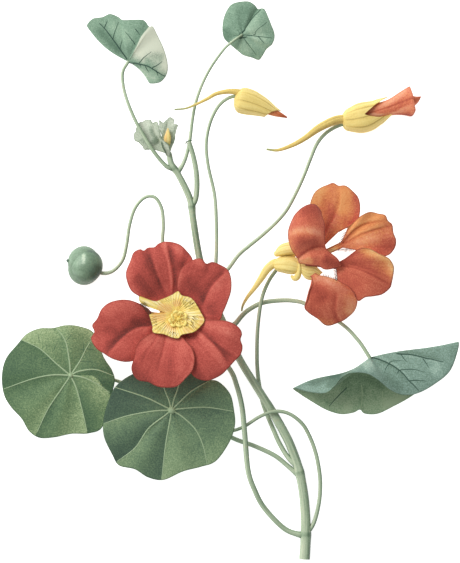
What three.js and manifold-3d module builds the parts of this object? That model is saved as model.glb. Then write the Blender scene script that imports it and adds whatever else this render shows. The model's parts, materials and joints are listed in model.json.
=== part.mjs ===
// A cut sprig of garden nasturtium (Tropaeolum majus) lying on a flat surface.
// Millimetres, +Z up. The surface is z = 0 and the sprig points along +Y.
// Each stalk, blade, petal, bud and fruit is a closed solid of its own.
import * as THREE from "three";
import Module from "manifold-3d";
import { mergeVertices } from "three/addons/utils/BufferGeometryUtils.js";

const wasm = await Module();
wasm.setup();

// ---- driving dimensions -----------------------------------------------------------------
const LEAF_THICKNESS = 0.7;
const PETAL_THICKNESS = 0.65;
const FRINGE_THICKNESS = 0.6;
const GAP = 0.3; // clearance where one organ is seated on the next
const SEAT = 0.55; // clearance that a stalk is cut to under the organ that it bears
const STEM_SIDES = 8;
const STALK_SIDES = 6;
const STALK_STEP = 5; // distance between the rings of a stalk
const FLOOR = 0; // height of the surface that the sprig lies on
const PULL = 0.5; // Catmull-Rom tension of every curve

// ---- colours and finishes ---------------------------------------------------------------
const finish = (color, roughness) => ({ color, roughness, metalness: 0 });
const STEM_GREEN = finish(0x96b494, 0.5);
const LEAF_GREEN = finish(0x6f9460, 0.6);
const LEAF_BACK = finish(0x7ea592, 0.65);
const YOUNG_GREEN = finish(0xa3b399, 0.6);
const PETAL_RED = finish(0xbe3e38, 0.6);
const PETAL_ORANGE = finish(0xc9653f, 0.6);
const CALYX_YELLOW = finish(0xe6cf78, 0.55);
const FRUIT_GREEN = finish(0x5f8c6e, 0.4);

// ---- meshes and solids ------------------------------------------------------------------
const vector = (point) => new THREE.Vector3(...point);
const mix = THREE.MathUtils.lerp;

function geometryFrom(positions, triangles) {
  const geometry = new THREE.BufferGeometry();
  geometry.setAttribute("position", new THREE.Float32BufferAttribute(positions, 3));
  geometry.setIndex(triangles);
  return geometry;
}

function solidOf(geometry) {
  const bare = geometry.clone();
  bare.deleteAttribute("normal");
  bare.deleteAttribute("uv");
  const merged = mergeVertices(bare, 1e-4);
  return new wasm.Manifold(
    new wasm.Mesh({
      numProp: 3,
      vertProperties: new Float32Array(merged.attributes.position.array),
      triVerts: new Uint32Array(merged.index.array),
    }),
  );
}

function geometryOf(solid) {
  const mesh = solid.getMesh();
  return geometryFrom(Array.from(mesh.vertProperties), Array.from(mesh.triVerts));
}

const joined = (geometries) =>
  geometryOf(geometries.map(solidOf).reduce((whole, piece) => whole.add(piece)));

// What is left of a piece after the cuts: its largest body, without loose scraps.
function cutBy(geometry, tools) {
  const start = solidOf(geometry);
  const rest = tools.map(solidOf).reduce((left, tool) => left.subtract(tool), start);
  const bodies = rest.decompose().sort((a, b) => b.volume() - a.volume());
  return geometryOf(bodies[0]);
}

// Everything below the surface, for the small flats that the sprig rests on.
function groundUnder(geometry) {
  geometry.computeBoundingBox();
  const size = geometry.boundingBox.getSize(new THREE.Vector3());
  const centre = geometry.boundingBox.getCenter(new THREE.Vector3());
  const slab = new THREE.BoxGeometry(size.x + 10, size.y + 10, 20);
  slab.translate(centre.x, centre.y, FLOOR - 10);
  return slab;
}

// ---- curves -----------------------------------------------------------------------------
const curveThrough = (points, closed = false) =>
  new THREE.CatmullRomCurve3(points.map(vector), closed, "catmullrom", PULL);

// A value read off an evenly spaced list, as a smooth curve through it.
function along(list, u) {
  const curve = curveThrough(list.map((value) => [value, 0, 0]));
  return curve.getPoint(u).x;
}

// ---- round organs: stems, stalks, spurs, calyces ----------------------------------------
// radius(u, angle) is the section's radius at the share u of the route.
function sweep(route, radius, sides, rings) {
  const curve = curveThrough(route);
  const frames = curve.computeFrenetFrames(rings, false);
  const down = new THREE.Vector3(0, 0, -1);
  const positions = [];
  for (let ring = 0; ring <= rings; ring += 1) {
    const u = ring / rings;
    const centre = curve.getPointAt(u);
    const tangent = frames.tangents[ring];
    const under = down.clone().addScaledVector(tangent, -down.dot(tangent));
    const upright = under.length() > 0.2;
    const first = upright ? under.normalize() : frames.normals[ring];
    const second = new THREE.Vector3().crossVectors(tangent, first);
    for (let side = 0; side < sides; side += 1) {
      const angle = ((side + 0.5) / sides) * 2 * Math.PI;
      const reach = radius(u, angle);
      const point = centre.clone();
      point.addScaledVector(first, Math.cos(angle) * reach);
      point.addScaledVector(second, Math.sin(angle) * reach);
      positions.push(...point.toArray());
    }
  }
  const start = positions.length / 3;
  positions.push(...curve.getPointAt(0).toArray(), ...curve.getPointAt(1).toArray());
  const triangles = [];
  for (let side = 0; side < sides; side += 1) {
    const next = (side + 1) % sides;
    triangles.push(start, next, side);
    triangles.push(start + 1, rings * sides + side, rings * sides + next);
    for (let ring = 0; ring < rings; ring += 1) {
      const here = ring * sides;
      const there = here + sides;
      triangles.push(here + side, here + next, there + side);
      triangles.push(here + next, there + next, there + side);
    }
  }
  return geometryFrom(positions, triangles);
}

// ---- thin organs: leaf blades, petals, fringes ------------------------------------------
// place(s, t) is the middle surface: s runs from the base to the margin and t across it, or
// round it on a closed blade, whose first row is then a single point.
function blade({ place, rows, columns, closed, thickness }) {
  const middle = [];
  const across = closed ? columns : columns + 1;
  const index = (row, column) => {
    if (!closed) return row * across + column;
    return row === 0 ? 0 : 1 + (row - 1) * across + (column % across);
  };
  for (let row = 0; row <= rows; row += 1) {
    const count = closed && row === 0 ? 1 : across;
    for (let column = 0; column < count; column += 1) {
      middle.push(place(row / rows, column / columns));
    }
  }
  const faces = [];
  for (let row = 0; row < rows; row += 1) {
    for (let column = 0; column < columns; column += 1) {
      const [a, b] = [index(row, column), index(row, column + 1)];
      const [c, d] = [index(row + 1, column), index(row + 1, column + 1)];
      faces.push([a, c, d]);
      if (a !== b) faces.push([a, d, b]);
    }
  }
  const normals = middle.map(() => new THREE.Vector3());
  const face = new THREE.Triangle();
  for (const [a, b, c] of faces) {
    face.set(middle[a], middle[b], middle[c]);
    const normal = face.getNormal(new THREE.Vector3()).multiplyScalar(face.getArea());
    [a, b, c].forEach((corner) => normals[corner].add(normal));
  }
  const positions = [];
  for (const sign of [0.5, -0.5]) {
    middle.forEach((point, i) => {
      const lift = normals[i].clone().normalize().multiplyScalar(sign * thickness);
      positions.push(...point.clone().add(lift).toArray());
    });
  }
  const under = middle.length;
  const triangles = [];
  faces.forEach(([a, b, c]) => triangles.push(a, b, c, under + a, under + c, under + b));
  const rim = [];
  for (let column = 0; column < columns; column += 1) {
    rim.push([index(rows, column), index(rows, column + 1)]);
    if (!closed) rim.push([index(0, column + 1), index(0, column)]);
  }
  for (let row = 0; row < rows && !closed; row += 1) {
    rim.push([index(row, 0), index(row + 1, 0)]);
    rim.push([index(row + 1, columns), index(row, columns)]);
  }
  rim.forEach(([a, b]) => triangles.push(a, under + a, b, b, under + a, under + b));
  return geometryFrom(positions, triangles);
}

const bump = (t, centre, width) => Math.exp(-(((t - centre) / width) ** 2));

// A petal spreads like a fan from its claw to its outline, through the rungs [share of the
// way, start, end] that widen it where the fan would fold. Heights are read by the distance
// from the claw; sides tilts it across; each crease is [where across, depth, width]; the rim
// carries ruffle waves.
function petalSurface({ claw, rungs = [], outline, heights, sides = [0, 0], ...rest }) {
  const { creases = [], ruffle = 0.4, waves = 4 } = rest;
  const flat = ([x, y]) => new THREE.Vector3(x, y, 0);
  const margin = curveThrough(outline.map(([x, y]) => [x, y, 0]));
  const ladder = [[0, ...claw], ...rungs].map(([share, start, end]) => [
    share,
    flat(start),
    flat(end),
  ]);
  const root = ladder[0][1].clone().lerp(ladder[0][2], 0.5);
  const reach = Math.max(...outline.map((point) => flat(point).distanceTo(root)));
  return (s, t) => {
    const steps = ladder.map(([share, start, end]) => [share, start.clone().lerp(end, t)]);
    steps.push([1, margin.getPointAt(t)]);
    const next = steps.findIndex(([share], i) => i > 0 && s <= share);
    const [[from, point], [to, goal]] = [steps[next - 1], steps[next]];
    point.lerp(goal, (s - from) / (to - from));
    const share = Math.min(1, point.distanceTo(root) / reach);
    let z = along(heights, share) + mix(sides[0], sides[1], t) * share;
    creases.forEach(([where, depth, width]) => {
      z += depth * bump(t, where, width) * Math.sin(Math.PI * share) * s;
    });
    z += ruffle * s ** 4 * Math.sin(2 * Math.PI * waves * t + heights[0]);
    point.z = z;
    return point;
  };
}

const petal = (shape) =>
  blade({
    place: petalSurface(shape),
    rows: 5,
    columns: 12,
    closed: false,
    thickness: PETAL_THICKNESS,
  });

// A sheet through rows of hand-set points, smooth both ways.
function sheetSurface(net) {
  const lines = net.map((row) => curveThrough(row));
  return (s, t) => {
    const column = lines.map((line) => line.getPoint(t));
    return new THREE.CatmullRomCurve3(column, false, "catmullrom", PULL).getPoint(s);
  };
}

// A shield-shaped blade on spokes from where its stalk joins to the margin. Halfway out the
// spokes are raised by the arch, and the tissue between two veins swells by the puff.
function shieldSurface({ centre, margin, arch, veins = 9, puff = 0 }) {
  const edge = curveThrough(margin, true);
  const middle = vector(centre);
  return (s, t) => {
    const point = middle.clone().lerp(edge.getPoint(t), s);
    const between = Math.sin(Math.PI * veins * t) ** 2;
    point.z += 4 * s * (1 - s) * arch(t) + puff * between * Math.sin(Math.PI * s * 0.8);
    return point;
  };
}

const leaf = (shape, columns = 36, thickness = LEAF_THICKNESS) =>
  blade({ place: shieldSurface(shape), rows: 4, columns, closed: true, thickness });

// ---- the group --------------------------------------------------------------------------
const sprig = new THREE.Group();
sprig.name = "nasturtium_sprig";

function addPart(name, geometry, look) {
  const bare = geometry.clone();
  bare.computeVertexNormals();
  const mesh = new THREE.Mesh(bare, new THREE.MeshStandardMaterial(look));
  mesh.name = name;
  sprig.add(mesh);
  return bare;
}

// ---- main stem and the cut side shoot ---------------------------------------------------
const STEM_ROUTE = [
  [29.7, -111.8, 1.9],
  [30.2, -101.0, 2.3],
  [29.6, -88.0, 2.9],
  [27.6, -76.6, 3.7],
  [24.3, -66.8, 4.5],
  [20.9, -59.8, 5.0],
  [16.2, -51.6, 5.5],
  [12.5, -45.8, 5.9],
  [3.8, -31.8, 6.6],
  [-1.5, -20.0, 7.2],
  [-8.6, -4.0, 8.0],
  [-12.4, 9.0, 8.4],
  [-14.9, 24.2, 8.9],
  [-16.2, 32.6, 9.4],
  [-20.9, 42.4, 10.3],
  [-23.6, 46.4, 10.8],
  [-24.6, 50.6, 11.0],
];
const STEM_RADII = [2.15, 1.9, 1.8, 1.75, 1.5, 1.45, 1.45, 1.35, 1.25, 0.7];
const stemRadius = (u) => along(STEM_RADII, u);
const stemWith = (extra) => sweep(STEM_ROUTE, (u) => stemRadius(u) + extra, STEM_SIDES, 36);
const stem = stemWith(0);
const stemClearance = stemWith(GAP);

addPart("main_stem", cutBy(stem, [groundUnder(stem)]), STEM_GREEN);

const SHOOT_ROUTE = [
  [-15.5, 29.4, 9.0],
  [-13.9, 32.9, 9.8],
  [-13.4, 38.6, 10.6],
  [-13.8, 44.2, 11.6],
  [-15.0, 50.2, 12.3],
  [-16.6, 55.3, 12.8],
];
const shoot = sweep(SHOOT_ROUTE, (u) => mix(1.1, 0.92, u), STALK_SIDES, 6);
addPart("side_shoot", cutBy(shoot, [stemClearance]), STEM_GREEN);

// ---- stalks -----------------------------------------------------------------------------
// Each runs from the heart of the stem, where it is cut clear, to the organ that it bears.
const STALKS = {
  leaf_stalk_centre: {
    radii: [0.85, 0.8, 0.68, 0.6],
    route: [
      [30.1, -101.6, 2.3],
      [33.1, -97.8, 2.4],
      [35.0, -91.6, 2.5],
      [35.9, -85.0, 2.8],
      [35.8, -78.0, 3.3],
      [34.2, -69.3, 4.4],
      [31.5, -62.0, 5.8],
      [28.4, -57.0, 6.9],
      [23.2, -53.2, 7.9],
      [17.4, -52.4, 8.4],
      [11.5, -54.6, 8.0],
      [5.0, -58.7, 7.2],
      [-1.0, -60.3, 7.2],
      [-10.2, -59.0, 8.1],
      [-19.0, -54.6, 9.6],
      [-23.6, -51.8, 11.9],
    ],
  },
  leaf_stalk_left: {
    radii: [0.95, 0.85, 0.7, 0.62],
    route: [
      [27.6, -78.2, 3.4],
      [23.4, -74.7, 3.3],
      [17.8, -70.2, 3.5],
      [9.8, -66.4, 4.2],
      [0.2, -62.8, 4.6],
      [-16.2, -53.8, 5.0],
      [-32.2, -45.4, 5.2],
      [-47.0, -39.8, 5.2],
      [-59.0, -38.2, 5.8],
      [-64.0, -38.0, 8.4],
    ],
  },
  leaf_stalk_right: {
    radii: [0.8, 0.7, 0.7, 0.75],
    route: [
      [-1.5, -20.0, 7.2],
      [2.1, -17.1, 7.6],
      [4.4, -14.3, 7.8],
      [7.2, -11.8, 7.8],
      [12.6, -9.0, 7.8],
      [19.8, -8.0, 7.8],
      [25.8, -8.2, 8.0],
      [31.0, -9.8, 8.2],
      [44.0, -17.0, 9.0],
      [51.0, -23.8, 10.2],
      [55.7, -30.6, 11.2],
    ],
  },
  leaf_stalk_upper_left: {
    radii: [0.8, 0.72, 0.66, 0.62],
    route: [
      [-22.6, 44.6, 10.6],
      [-26.0, 46.0, 11.6],
      [-30.9, 51.8, 12.9],
      [-34.8, 58.0, 13.3],
      [-38.4, 64.7, 13.2],
      [-41.3, 71.8, 13.0],
      [-42.9, 77.9, 12.6],
      [-43.1, 83.4, 12.4],
      [-40.9, 87.5, 12.6],
    ],
  },
  leaf_stalk_upper_right: {
    radii: [0.75, 0.65, 0.55, 0.5],
    route: [
      [-21.2, 43.0, 10.3],
      [-18.7, 47.2, 9.7],
      [-17.1, 52.1, 9.5],
      [-16.1, 57.4, 9.8],
      [-15.2, 64.7, 10.5],
      [-13.8, 71.6, 11.2],
      [-11.3, 78.6, 12.0],
      [-7.8, 85.3, 13.2],
      [-3.0, 92.0, 15.0],
      [0.0, 94.9, 15.9],
      [2.6, 96.8, 15.6],
      [4.6, 98.2, 13.9],
    ],
  },
  flower_stalk_red: {
    radii: [1.05, 1.05, 1.0, 0.9],
    route: [
      [29.6, -102.4, 2.3],
      [21.8, -99.6, 3.0],
      [13.6, -91.2, 4.8],
      [9.6, -83.8, 6.8],
      [7.0, -75.8, 8.4],
      [5.7, -61.4, 9.8],
      [4.6, -50.6, 10.3],
      [2.4, -41.8, 11.0],
      [-0.5, -35.2, 11.5],
      [-10.2, -23.0, 12.0],
      [-20.0, -16.0, 12.6],
      [-23.5, -13.5, 15.2],
    ],
  },
  flower_stalk_orange: {
    radii: [1.0, 0.85, 0.75, 0.75],
    route: [
      [26.9, -74.4, 4.1],
      [23.2, -71.0, 3.7],
      [19.8, -65.6, 2.9],
      [17.2, -59.8, 2.6],
      [14.2, -52.6, 2.5],
      [12.7, -48.0, 2.7],
      [11.7, -42.8, 3.2],
      [11.0, -38.0, 4.2],
      [10.6, -31.0, 6.0],
      [10.9, -19.0, 9.4],
      [12.4, -7.8, 10.8],
      [15.0, -0.8, 12.0],
      [18.0, 3.8, 13.6],
      [20.4, 6.8, 15.8],
    ],
  },
  bud_stalk_right: {
    radii: [0.8, 0.75, 0.7, 0.8],
    route: [
      [-8.6, -4.0, 8.0],
      [-1.1, 4.5, 8.6],
      [3.2, 10.2, 9.0],
      [7.5, 13.9, 9.2],
      [12.9, 18.3, 9.3],
      [18.4, 23.4, 9.2],
      [22.6, 28.4, 8.9],
      [26.4, 35.4, 8.4],
      [29.4, 42.0, 7.8],
      [31.8, 48.2, 7.1],
      [34.4, 54.4, 6.4],
      [37.8, 58.7, 5.9],
      [42.0, 61.5, 5.7],
      [46.0, 63.0, 5.8],
    ],
  },
  bud_stalk_left: {
    radii: [0.75, 0.68, 0.64, 0.7],
    route: [
      [-9.4, -2.0, 8.1],
      [-6.7, 2.4, 8.6],
      [-5.8, 8.0, 9.0],
      [-5.6, 20.2, 9.4],
      [-6.3, 33.6, 9.8],
      [-8.9, 45.8, 10.3],
      [-9.7, 54.0, 10.7],
      [-8.9, 60.4, 11.0],
      [-7.1, 65.8, 11.4],
      [-4.3, 70.4, 11.9],
      [-0.6, 73.1, 12.3],
      [3.4, 74.0, 12.4],
    ],
  },
  fruit_stalk: {
    radii: [0.75, 0.7, 0.68, 0.75],
    route: [
      [-9.8, -1.4, 8.0],
      [-16.2, -1.4, 8.0],
      [-23.4, 2.6, 8.2],
      [-26.4, 9.0, 8.5],
      [-27.2, 15.8, 8.8],
      [-26.9, 22.4, 9.0],
      [-27.6, 28.9, 9.0],
      [-30.3, 33.3, 8.9],
      [-34.4, 33.2, 8.6],
      [-38.2, 29.0, 8.1],
      [-40.4, 22.2, 7.7],
      [-41.6, 14.3, 7.3],
      [-43.2, 8.2, 7.0],
      [-47.0, 3.9, 6.7],
      [-51.2, 2.9, 6.4],
      [-56.0, 4.6, 6.0],
    ],
  },
};

// Organs that end a stalk are cut out of it, grown by the gap.
const seats = {};

function addStalks() {
  for (const [name, { radii, route }] of Object.entries(STALKS)) {
    const rings = Math.round(curveThrough(route).getLength() / STALK_STEP);
    const stalk = sweep(route, (u) => along(radii, u), STALK_SIDES, rings);
    addPart(name, cutBy(stalk, [stemClearance, ...seats[name]]), STEM_GREEN);
  }
}

// ---- flat leaves, upper side up ---------------------------------------------------------
const LEFT_LEAF = {
  centre: [-64.0, -38.0, 8.4],
  arch: () => 0.5,
  puff: 0.5,
  margin: [
    [-46.4, -41.0, 8.9],
    [-47.4, -36.0, 9.1],
    [-50.8, -30.6, 8.2],
    [-54.6, -21.2, 7.4],
    [-60.4, -18.4, 7.2],
    [-66.0, -17.9, 7.8],
    [-71.0, -19.0, 6.8],
    [-76.4, -19.2, 6.2],
    [-81.6, -21.4, 6.6],
    [-85.4, -25.6, 5.6],
    [-90.0, -31.4, 5.0],
    [-91.6, -38.4, 5.4],
    [-90.8, -45.6, 4.6],
    [-88.0, -50.6, 5.0],
    [-83.6, -55.4, 5.8],
    [-80.8, -60.2, 5.2],
    [-76.6, -63.0, 5.4],
    [-70.6, -62.8, 6.4],
    [-63.8, -61.4, 6.0],
    [-56.8, -61.2, 6.8],
    [-51.4, -58.8, 7.8],
    [-49.2, -50.0, 8.6],
  ],
};
const CENTRE_LEAF = {
  centre: [-23.6, -51.8, 12.0],
  arch: () => 0.4,
  puff: 0.5,
  margin: [
    [1.4, -51.6, 12.6],
    [-0.2, -45.2, 13.6],
    [-4.8, -40.4, 14.4],
    [-9.6, -39.4, 13.6],
    [-15.6, -36.0, 14.2],
    [-23.8, -34.4, 14.4],
    [-32.0, -35.2, 13.4],
    [-40.0, -37.8, 12.8],
    [-46.0, -42.4, 13.2],
    [-48.6, -47.6, 12.4],
    [-50.8, -55.2, 11.9],
    [-50.6, -62.4, 11.2],
    [-47.4, -69.6, 10.2],
    [-44.6, -74.0, 9.6],
    [-38.2, -75.6, 10.0],
    [-33.0, -78.8, 9.0],
    [-26.8, -79.8, 8.6],
    [-19.0, -76.4, 9.2],
    [-12.0, -74.6, 8.6],
    [-5.8, -72.2, 9.2],
    [-0.4, -64.6, 10.6],
    [1.8, -57.8, 11.6],
  ],
};

// ---- folded leaves, pale underside out --------------------------------------------------
// The right leaf is shut like a purse lying on its side, its stalk at the fold. The margin
// runs from the left tip along the lower half to the right tip and back along the upper.
const RIGHT_LEAF = {
  centre: [55.8, -31.4, 9.6],
  arch: (t) => -3 * Math.sin(2 * Math.PI * t),
  margin: [
    [25.4, -45.0, 6.0],
    [29.5, -46.8, 3.8],
    [34.5, -49.4, 2.4],
    [39.8, -52.2, 1.8],
    [45.0, -53.3, 1.5],
    [50.0, -52.2, 1.6],
    [52.2, -51.2, 2.0],
    [54.6, -53.0, 1.6],
    [60.0, -52.6, 1.6],
    [66.0, -50.8, 1.8],
    [72.0, -47.5, 2.2],
    [79.5, -41.5, 3.2],
    [86.5, -34.0, 4.8],
    [91.2, -25.4, 8.0],
    [90.8, -30.0, 9.6],
    [87.0, -36.8, 11.6],
    [80.5, -42.2, 12.4],
    [74.5, -46.2, 12.8],
    [68.8, -47.0, 13.6],
    [63.5, -44.4, 15.6],
    [58.5, -40.4, 18.6],
    [53.5, -38.0, 20.6],
    [47.8, -37.8, 20.8],
    [43.2, -39.8, 18.4],
    [39.8, -43.6, 14.8],
    [36.2, -46.4, 11.6],
    [30.5, -46.4, 8.2],
  ],
};
// The upper left leaf is folded in the same way, with a second crease across its upper half.
const UPPER_LEFT_LEAF = {
  centre: [-40.8, 87.7, 12.6],
  arch: (t) => (t < 16 / 24 ? 2.2 * Math.sin(1.5 * Math.PI * t) : -1.2) + bump(t, 0.34, 0.05),
  margin: [
    [-57.2, 101.8, 12.2],
    [-54.6, 104.8, 14.0],
    [-51.4, 105.5, 15.4],
    [-47.8, 106.6, 16.4],
    [-45.2, 105.6, 16.0],
    [-42.6, 104.2, 17.0],
    [-38.4, 104.2, 17.6],
    [-35.2, 104.0, 17.4],
    [-33.2, 101.6, 18.0],
    [-31.4, 100.0, 17.0],
    [-30.1, 97.4, 15.8],
    [-28.0, 93.2, 15.4],
    [-25.4, 88.2, 14.6],
    [-25.0, 83.8, 13.8],
    [-26.4, 80.8, 12.6],
    [-29.2, 79.3, 11.6],
    [-32.2, 78.8, 10.8],
    [-31.2, 81.4, 9.4],
    [-29.6, 86.5, 8.8],
    [-31.6, 92.5, 9.2],
    [-35.0, 97.8, 9.6],
    [-40.5, 100.4, 10.0],
    [-47.0, 101.4, 10.4],
    [-53.0, 101.6, 10.8],
  ],
};
// The upper right leaf lies open on its face, creased from its stalk to the upper margin.
const UPPER_RIGHT_LEAF = {
  centre: [4.6, 98.2, 13.6],
  arch: (t) => 0.4 - 1.0 * bump(t, 0.2, 0.07),
  puff: 0.4,
  margin: [
    [17.6, 98.4, 12.6],
    [16.0, 103.0, 13.2],
    [13.9, 108.0, 13.6],
    [12.6, 108.8, 13.0],
    [11.0, 108.6, 12.6],
    [9.6, 110.2, 13.2],
    [7.0, 111.6, 13.0],
    [2.4, 111.2, 12.4],
    [-0.4, 109.6, 12.0],
    [-2.6, 105.2, 11.6],
    [-3.2, 100.4, 11.4],
    [-2.5, 96.9, 11.8],
    [-0.6, 94.9, 12.2],
    [2.6, 92.2, 11.6],
    [5.2, 90.2, 11.2],
    [8.6, 89.2, 11.2],
    [11.3, 88.3, 10.6],
    [12.8, 90.0, 11.4],
    [14.4, 92.6, 12.0],
    [16.8, 94.8, 12.6],
  ],
};

const LEAVES = [
  ["leaf_left", LEFT_LEAF, LEAF_GREEN, "leaf_stalk_left", 36],
  ["leaf_centre", CENTRE_LEAF, LEAF_GREEN, "leaf_stalk_centre", 36],
  ["leaf_right", RIGHT_LEAF, LEAF_BACK, "leaf_stalk_right", 45],
  ["leaf_upper_left", UPPER_LEFT_LEAF, LEAF_BACK, "leaf_stalk_upper_left", 40],
  ["leaf_upper_right", UPPER_RIGHT_LEAF, LEAF_BACK, "leaf_stalk_upper_right", 32],
];
LEAVES.forEach(([name, shape, look, stalk, columns]) => {
  addPart(name, leaf(shape, columns), look);
  seats[stalk] = [leaf(shape, columns, LEAF_THICKNESS + 2 * SEAT)];
});

// ---- the growing tip --------------------------------------------------------------------
const TIP_LEAF_LEFT = {
  claw: [[-26.3, 51.0], [-25.3, 52.4]],
  rungs: [[0.25, [-31.4, 52.6], [-27.2, 56.2]]],
  outline: [
    [-33.2, 52.5],
    [-34.5, 52.4],
    [-35.7, 55.0],
    [-38.7, 56.9],
    [-37.7, 60.6],
    [-36.5, 63.2],
    [-32.6, 64.3],
    [-30.2, 63.9],
    [-28.7, 62.8],
    [-27.8, 57.2],
  ],
  heights: [10.6, 10.8, 11.2, 11.0, 10.4],
  creases: [[0.75, 0.5, 0.12]],
  ruffle: 0.25,
};
const TIP_LEAF_RIGHT = {
  claw: [[-25.0, 52.6], [-23.9, 51.9]],
  outline: [
    [-27.2, 56.0],
    [-28.3, 60.2],
    [-28.7, 64.0],
    [-27.0, 63.5],
    [-24.6, 65.3],
    [-22.8, 65.0],
    [-22.2, 63.0],
    [-21.0, 62.2],
    [-22.2, 61.0],
    [-22.1, 57.1],
    [-23.4, 54.0],
  ],
  heights: [11.7, 12.4, 12.6, 12.5, 12.3],
  creases: [[0.5, -0.4, 0.2]],
  ruffle: 0.2,
};
const TIP_BRACT = {
  claw: [[-25.7, 50.0], [-24.4, 49.8]],
  outline: [
    [-27.2, 53.0],
    [-28.0, 56.3],
    [-26.4, 55.6],
    [-25.0, 54.6],
    [-23.9, 52.2],
  ],
  heights: [12.1, 12.8, 13.4, 13.6, 13.4],
  ruffle: 0,
};
const BUD_TIP_ROUTE = [[-25.4, 55.9, 13.9], [-25.2, 58.0, 14.2], [-24.8, 61.5, 14.0]];

const youngBlade = (shape, rows, columns) =>
  blade({ place: petalSurface(shape), rows, columns, closed: false, thickness: 0.6 });

addPart("tip_leaf_left", cutBy(youngBlade(TIP_LEAF_LEFT, 4, 12), [stemClearance]), YOUNG_GREEN);
addPart("tip_leaf_right", youngBlade(TIP_LEAF_RIGHT, 4, 10), YOUNG_GREEN);
addPart("tip_bract", youngBlade(TIP_BRACT, 3, 6), YOUNG_GREEN);
const tipRadius = (u) => along([0.7, 1.3, 1.2, 0.7, 0.2], u);
addPart("tip_bud", sweep(BUD_TIP_ROUTE, tipRadius, 8, 6), CALYX_YELLOW);

// ---- red flower, looking straight up ----------------------------------------------------
const RED_CENTRE = [-23.5, -13.5];
const CLAW_RING = 3;
const CLAW_HALF_WIDTH = 1.2;

function clawAt([x, y], degrees) {
  const angle = THREE.MathUtils.degToRad(degrees);
  const [outX, outY] = [Math.cos(angle), Math.sin(angle)];
  return [-CLAW_HALF_WIDTH, CLAW_HALF_WIDTH].map((side) => [
    x + CLAW_RING * outX - side * outY,
    y + CLAW_RING * outY + side * outX,
  ]);
}

const RED_PETALS = {
  red_petal_upper_left: {
    claw: clawAt(RED_CENTRE, 106),
    outline: [
      [-21.8, -6.6],
      [-20.1, -1.9],
      [-18.0, 4.0],
      [-16.8, 10.4],
      [-19.3, 13.4],
      [-22.4, 15.1],
      [-25.8, 15.5],
      [-28.6, 14.8],
      [-30.4, 13.3],
      [-33.0, 13.1],
      [-34.6, 11.9],
      [-36.0, 12.5],
      [-38.6, 11.2],
      [-39.9, 7.8],
      [-41.6, 3.2],
      [-41.1, -0.8],
      [-39.5, -4.2],
      [-36.8, -6.1],
      [-33.0, -7.8],
    ],
    heights: [20.2, 20.6, 22.8, 23.8, 22.0],
    sides: [-0.5, 0.3],
    creases: [[0.42, -1.0, 0.1], [0.68, 0.8, 0.12]],
    waves: 3,
  },
  red_petal_upper_right: {
    claw: clawAt(RED_CENTRE, 36),
    outline: [
      [-16.0, -14.1],
      [-10.5, -15.7],
      [-4.6, -16.0],
      [-3.0, -12.8],
      [-1.2, -8.6],
      [0.2, -4.0],
      [0.2, 0.8],
      [-1.2, 4.4],
      [-4.2, 6.3],
      [-7.2, 7.4],
      [-9.6, 6.7],
      [-11.1, 8.3],
      [-12.6, 8.8],
      [-15.2, 8.1],
      [-17.7, 6.6],
      [-19.8, 4.2],
      [-20.9, 0.2],
      [-21.3, -4.0],
      [-21.6, -8.2],
    ],
    heights: [20.2, 21.5, 24.0, 25.0, 23.2],
    sides: [-0.5, 0.5],
    creases: [[0.45, -0.9, 0.09], [0.7, 0.7, 0.12]],
    waves: 3,
  },
  red_petal_lower_right: {
    claw: clawAt(RED_CENTRE, -38),
    outline: [
      [-20.4, -22.0],
      [-18.4, -29.0],
      [-16.6, -35.4],
      [-13.6, -39.0],
      [-8.8, -39.9],
      [-4.0, -37.9],
      [-1.1, -35.2],
      [1.4, -32.4],
      [4.0, -29.6],
      [4.8, -26.4],
      [4.0, -23.5],
      [4.6, -21.2],
      [3.2, -18.6],
      [-0.4, -16.5],
      [-5.2, -15.9],
      [-11.0, -15.8],
    ],
    heights: [20.2, 22.5, 25.5, 26.5, 24.7],
    sides: [-0.5, 0.8],
    creases: [[0.55, -1.0, 0.1], [0.3, 0.6, 0.12]],
    waves: 4,
  },
  red_petal_bottom: {
    claw: clawAt(RED_CENTRE, -100),
    rungs: [[0.2, [-30.0, -20.3], [-20.2, -21.4]]],
    outline: [
      [-33.2, -21.9],
      [-35.4, -23.2],
      [-37.6, -26.3],
      [-38.1, -30.0],
      [-39.5, -34.4],
      [-38.9, -37.4],
      [-36.7, -39.8],
      [-32.6, -40.6],
      [-29.4, -42.2],
      [-25.6, -42.7],
      [-21.2, -42.1],
      [-17.8, -38.9],
      [-15.2, -35.8],
      [-14.3, -31.2],
      [-15.3, -27.0],
      [-17.2, -24.9],
    ],
    heights: [20.2, 23.5, 26.9, 27.9, 26.1],
    sides: [0.3, 0.3],
    creases: [[0.5, -0.8, 0.08], [0.3, 0.5, 0.1], [0.7, 0.5, 0.1]],
    waves: 4,
  },
  red_petal_left: {
    claw: clawAt(RED_CENTRE, 195),
    rungs: [[0.2, [-31.6, -12.5], [-29.8, -19.2]]],
    outline: [
      [-33.4, -11.1],
      [-35.8, -9.5],
      [-39.8, -7.9],
      [-44.0, -7.7],
      [-48.4, -8.9],
      [-51.4, -11.4],
      [-53.2, -15.2],
      [-55.2, -17.8],
      [-54.3, -20.4],
      [-55.6, -23.2],
      [-53.6, -27.0],
      [-50.6, -29.1],
      [-46.6, -31.4],
      [-41.4, -32.5],
      [-36.5, -31.0],
      [-33.0, -26.0],
      [-31.2, -22.4],
    ],
    heights: [20.2, 21.7, 24.2, 25.0, 23.4],
    sides: [0.4, -0.5],
    creases: [[0.5, -1.1, 0.12], [0.75, 0.6, 0.1]],
    waves: 3,
  },
};
for (const [name, shape] of Object.entries(RED_PETALS)) {
  addPart(name, petal(shape), PETAL_RED);
}

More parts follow.
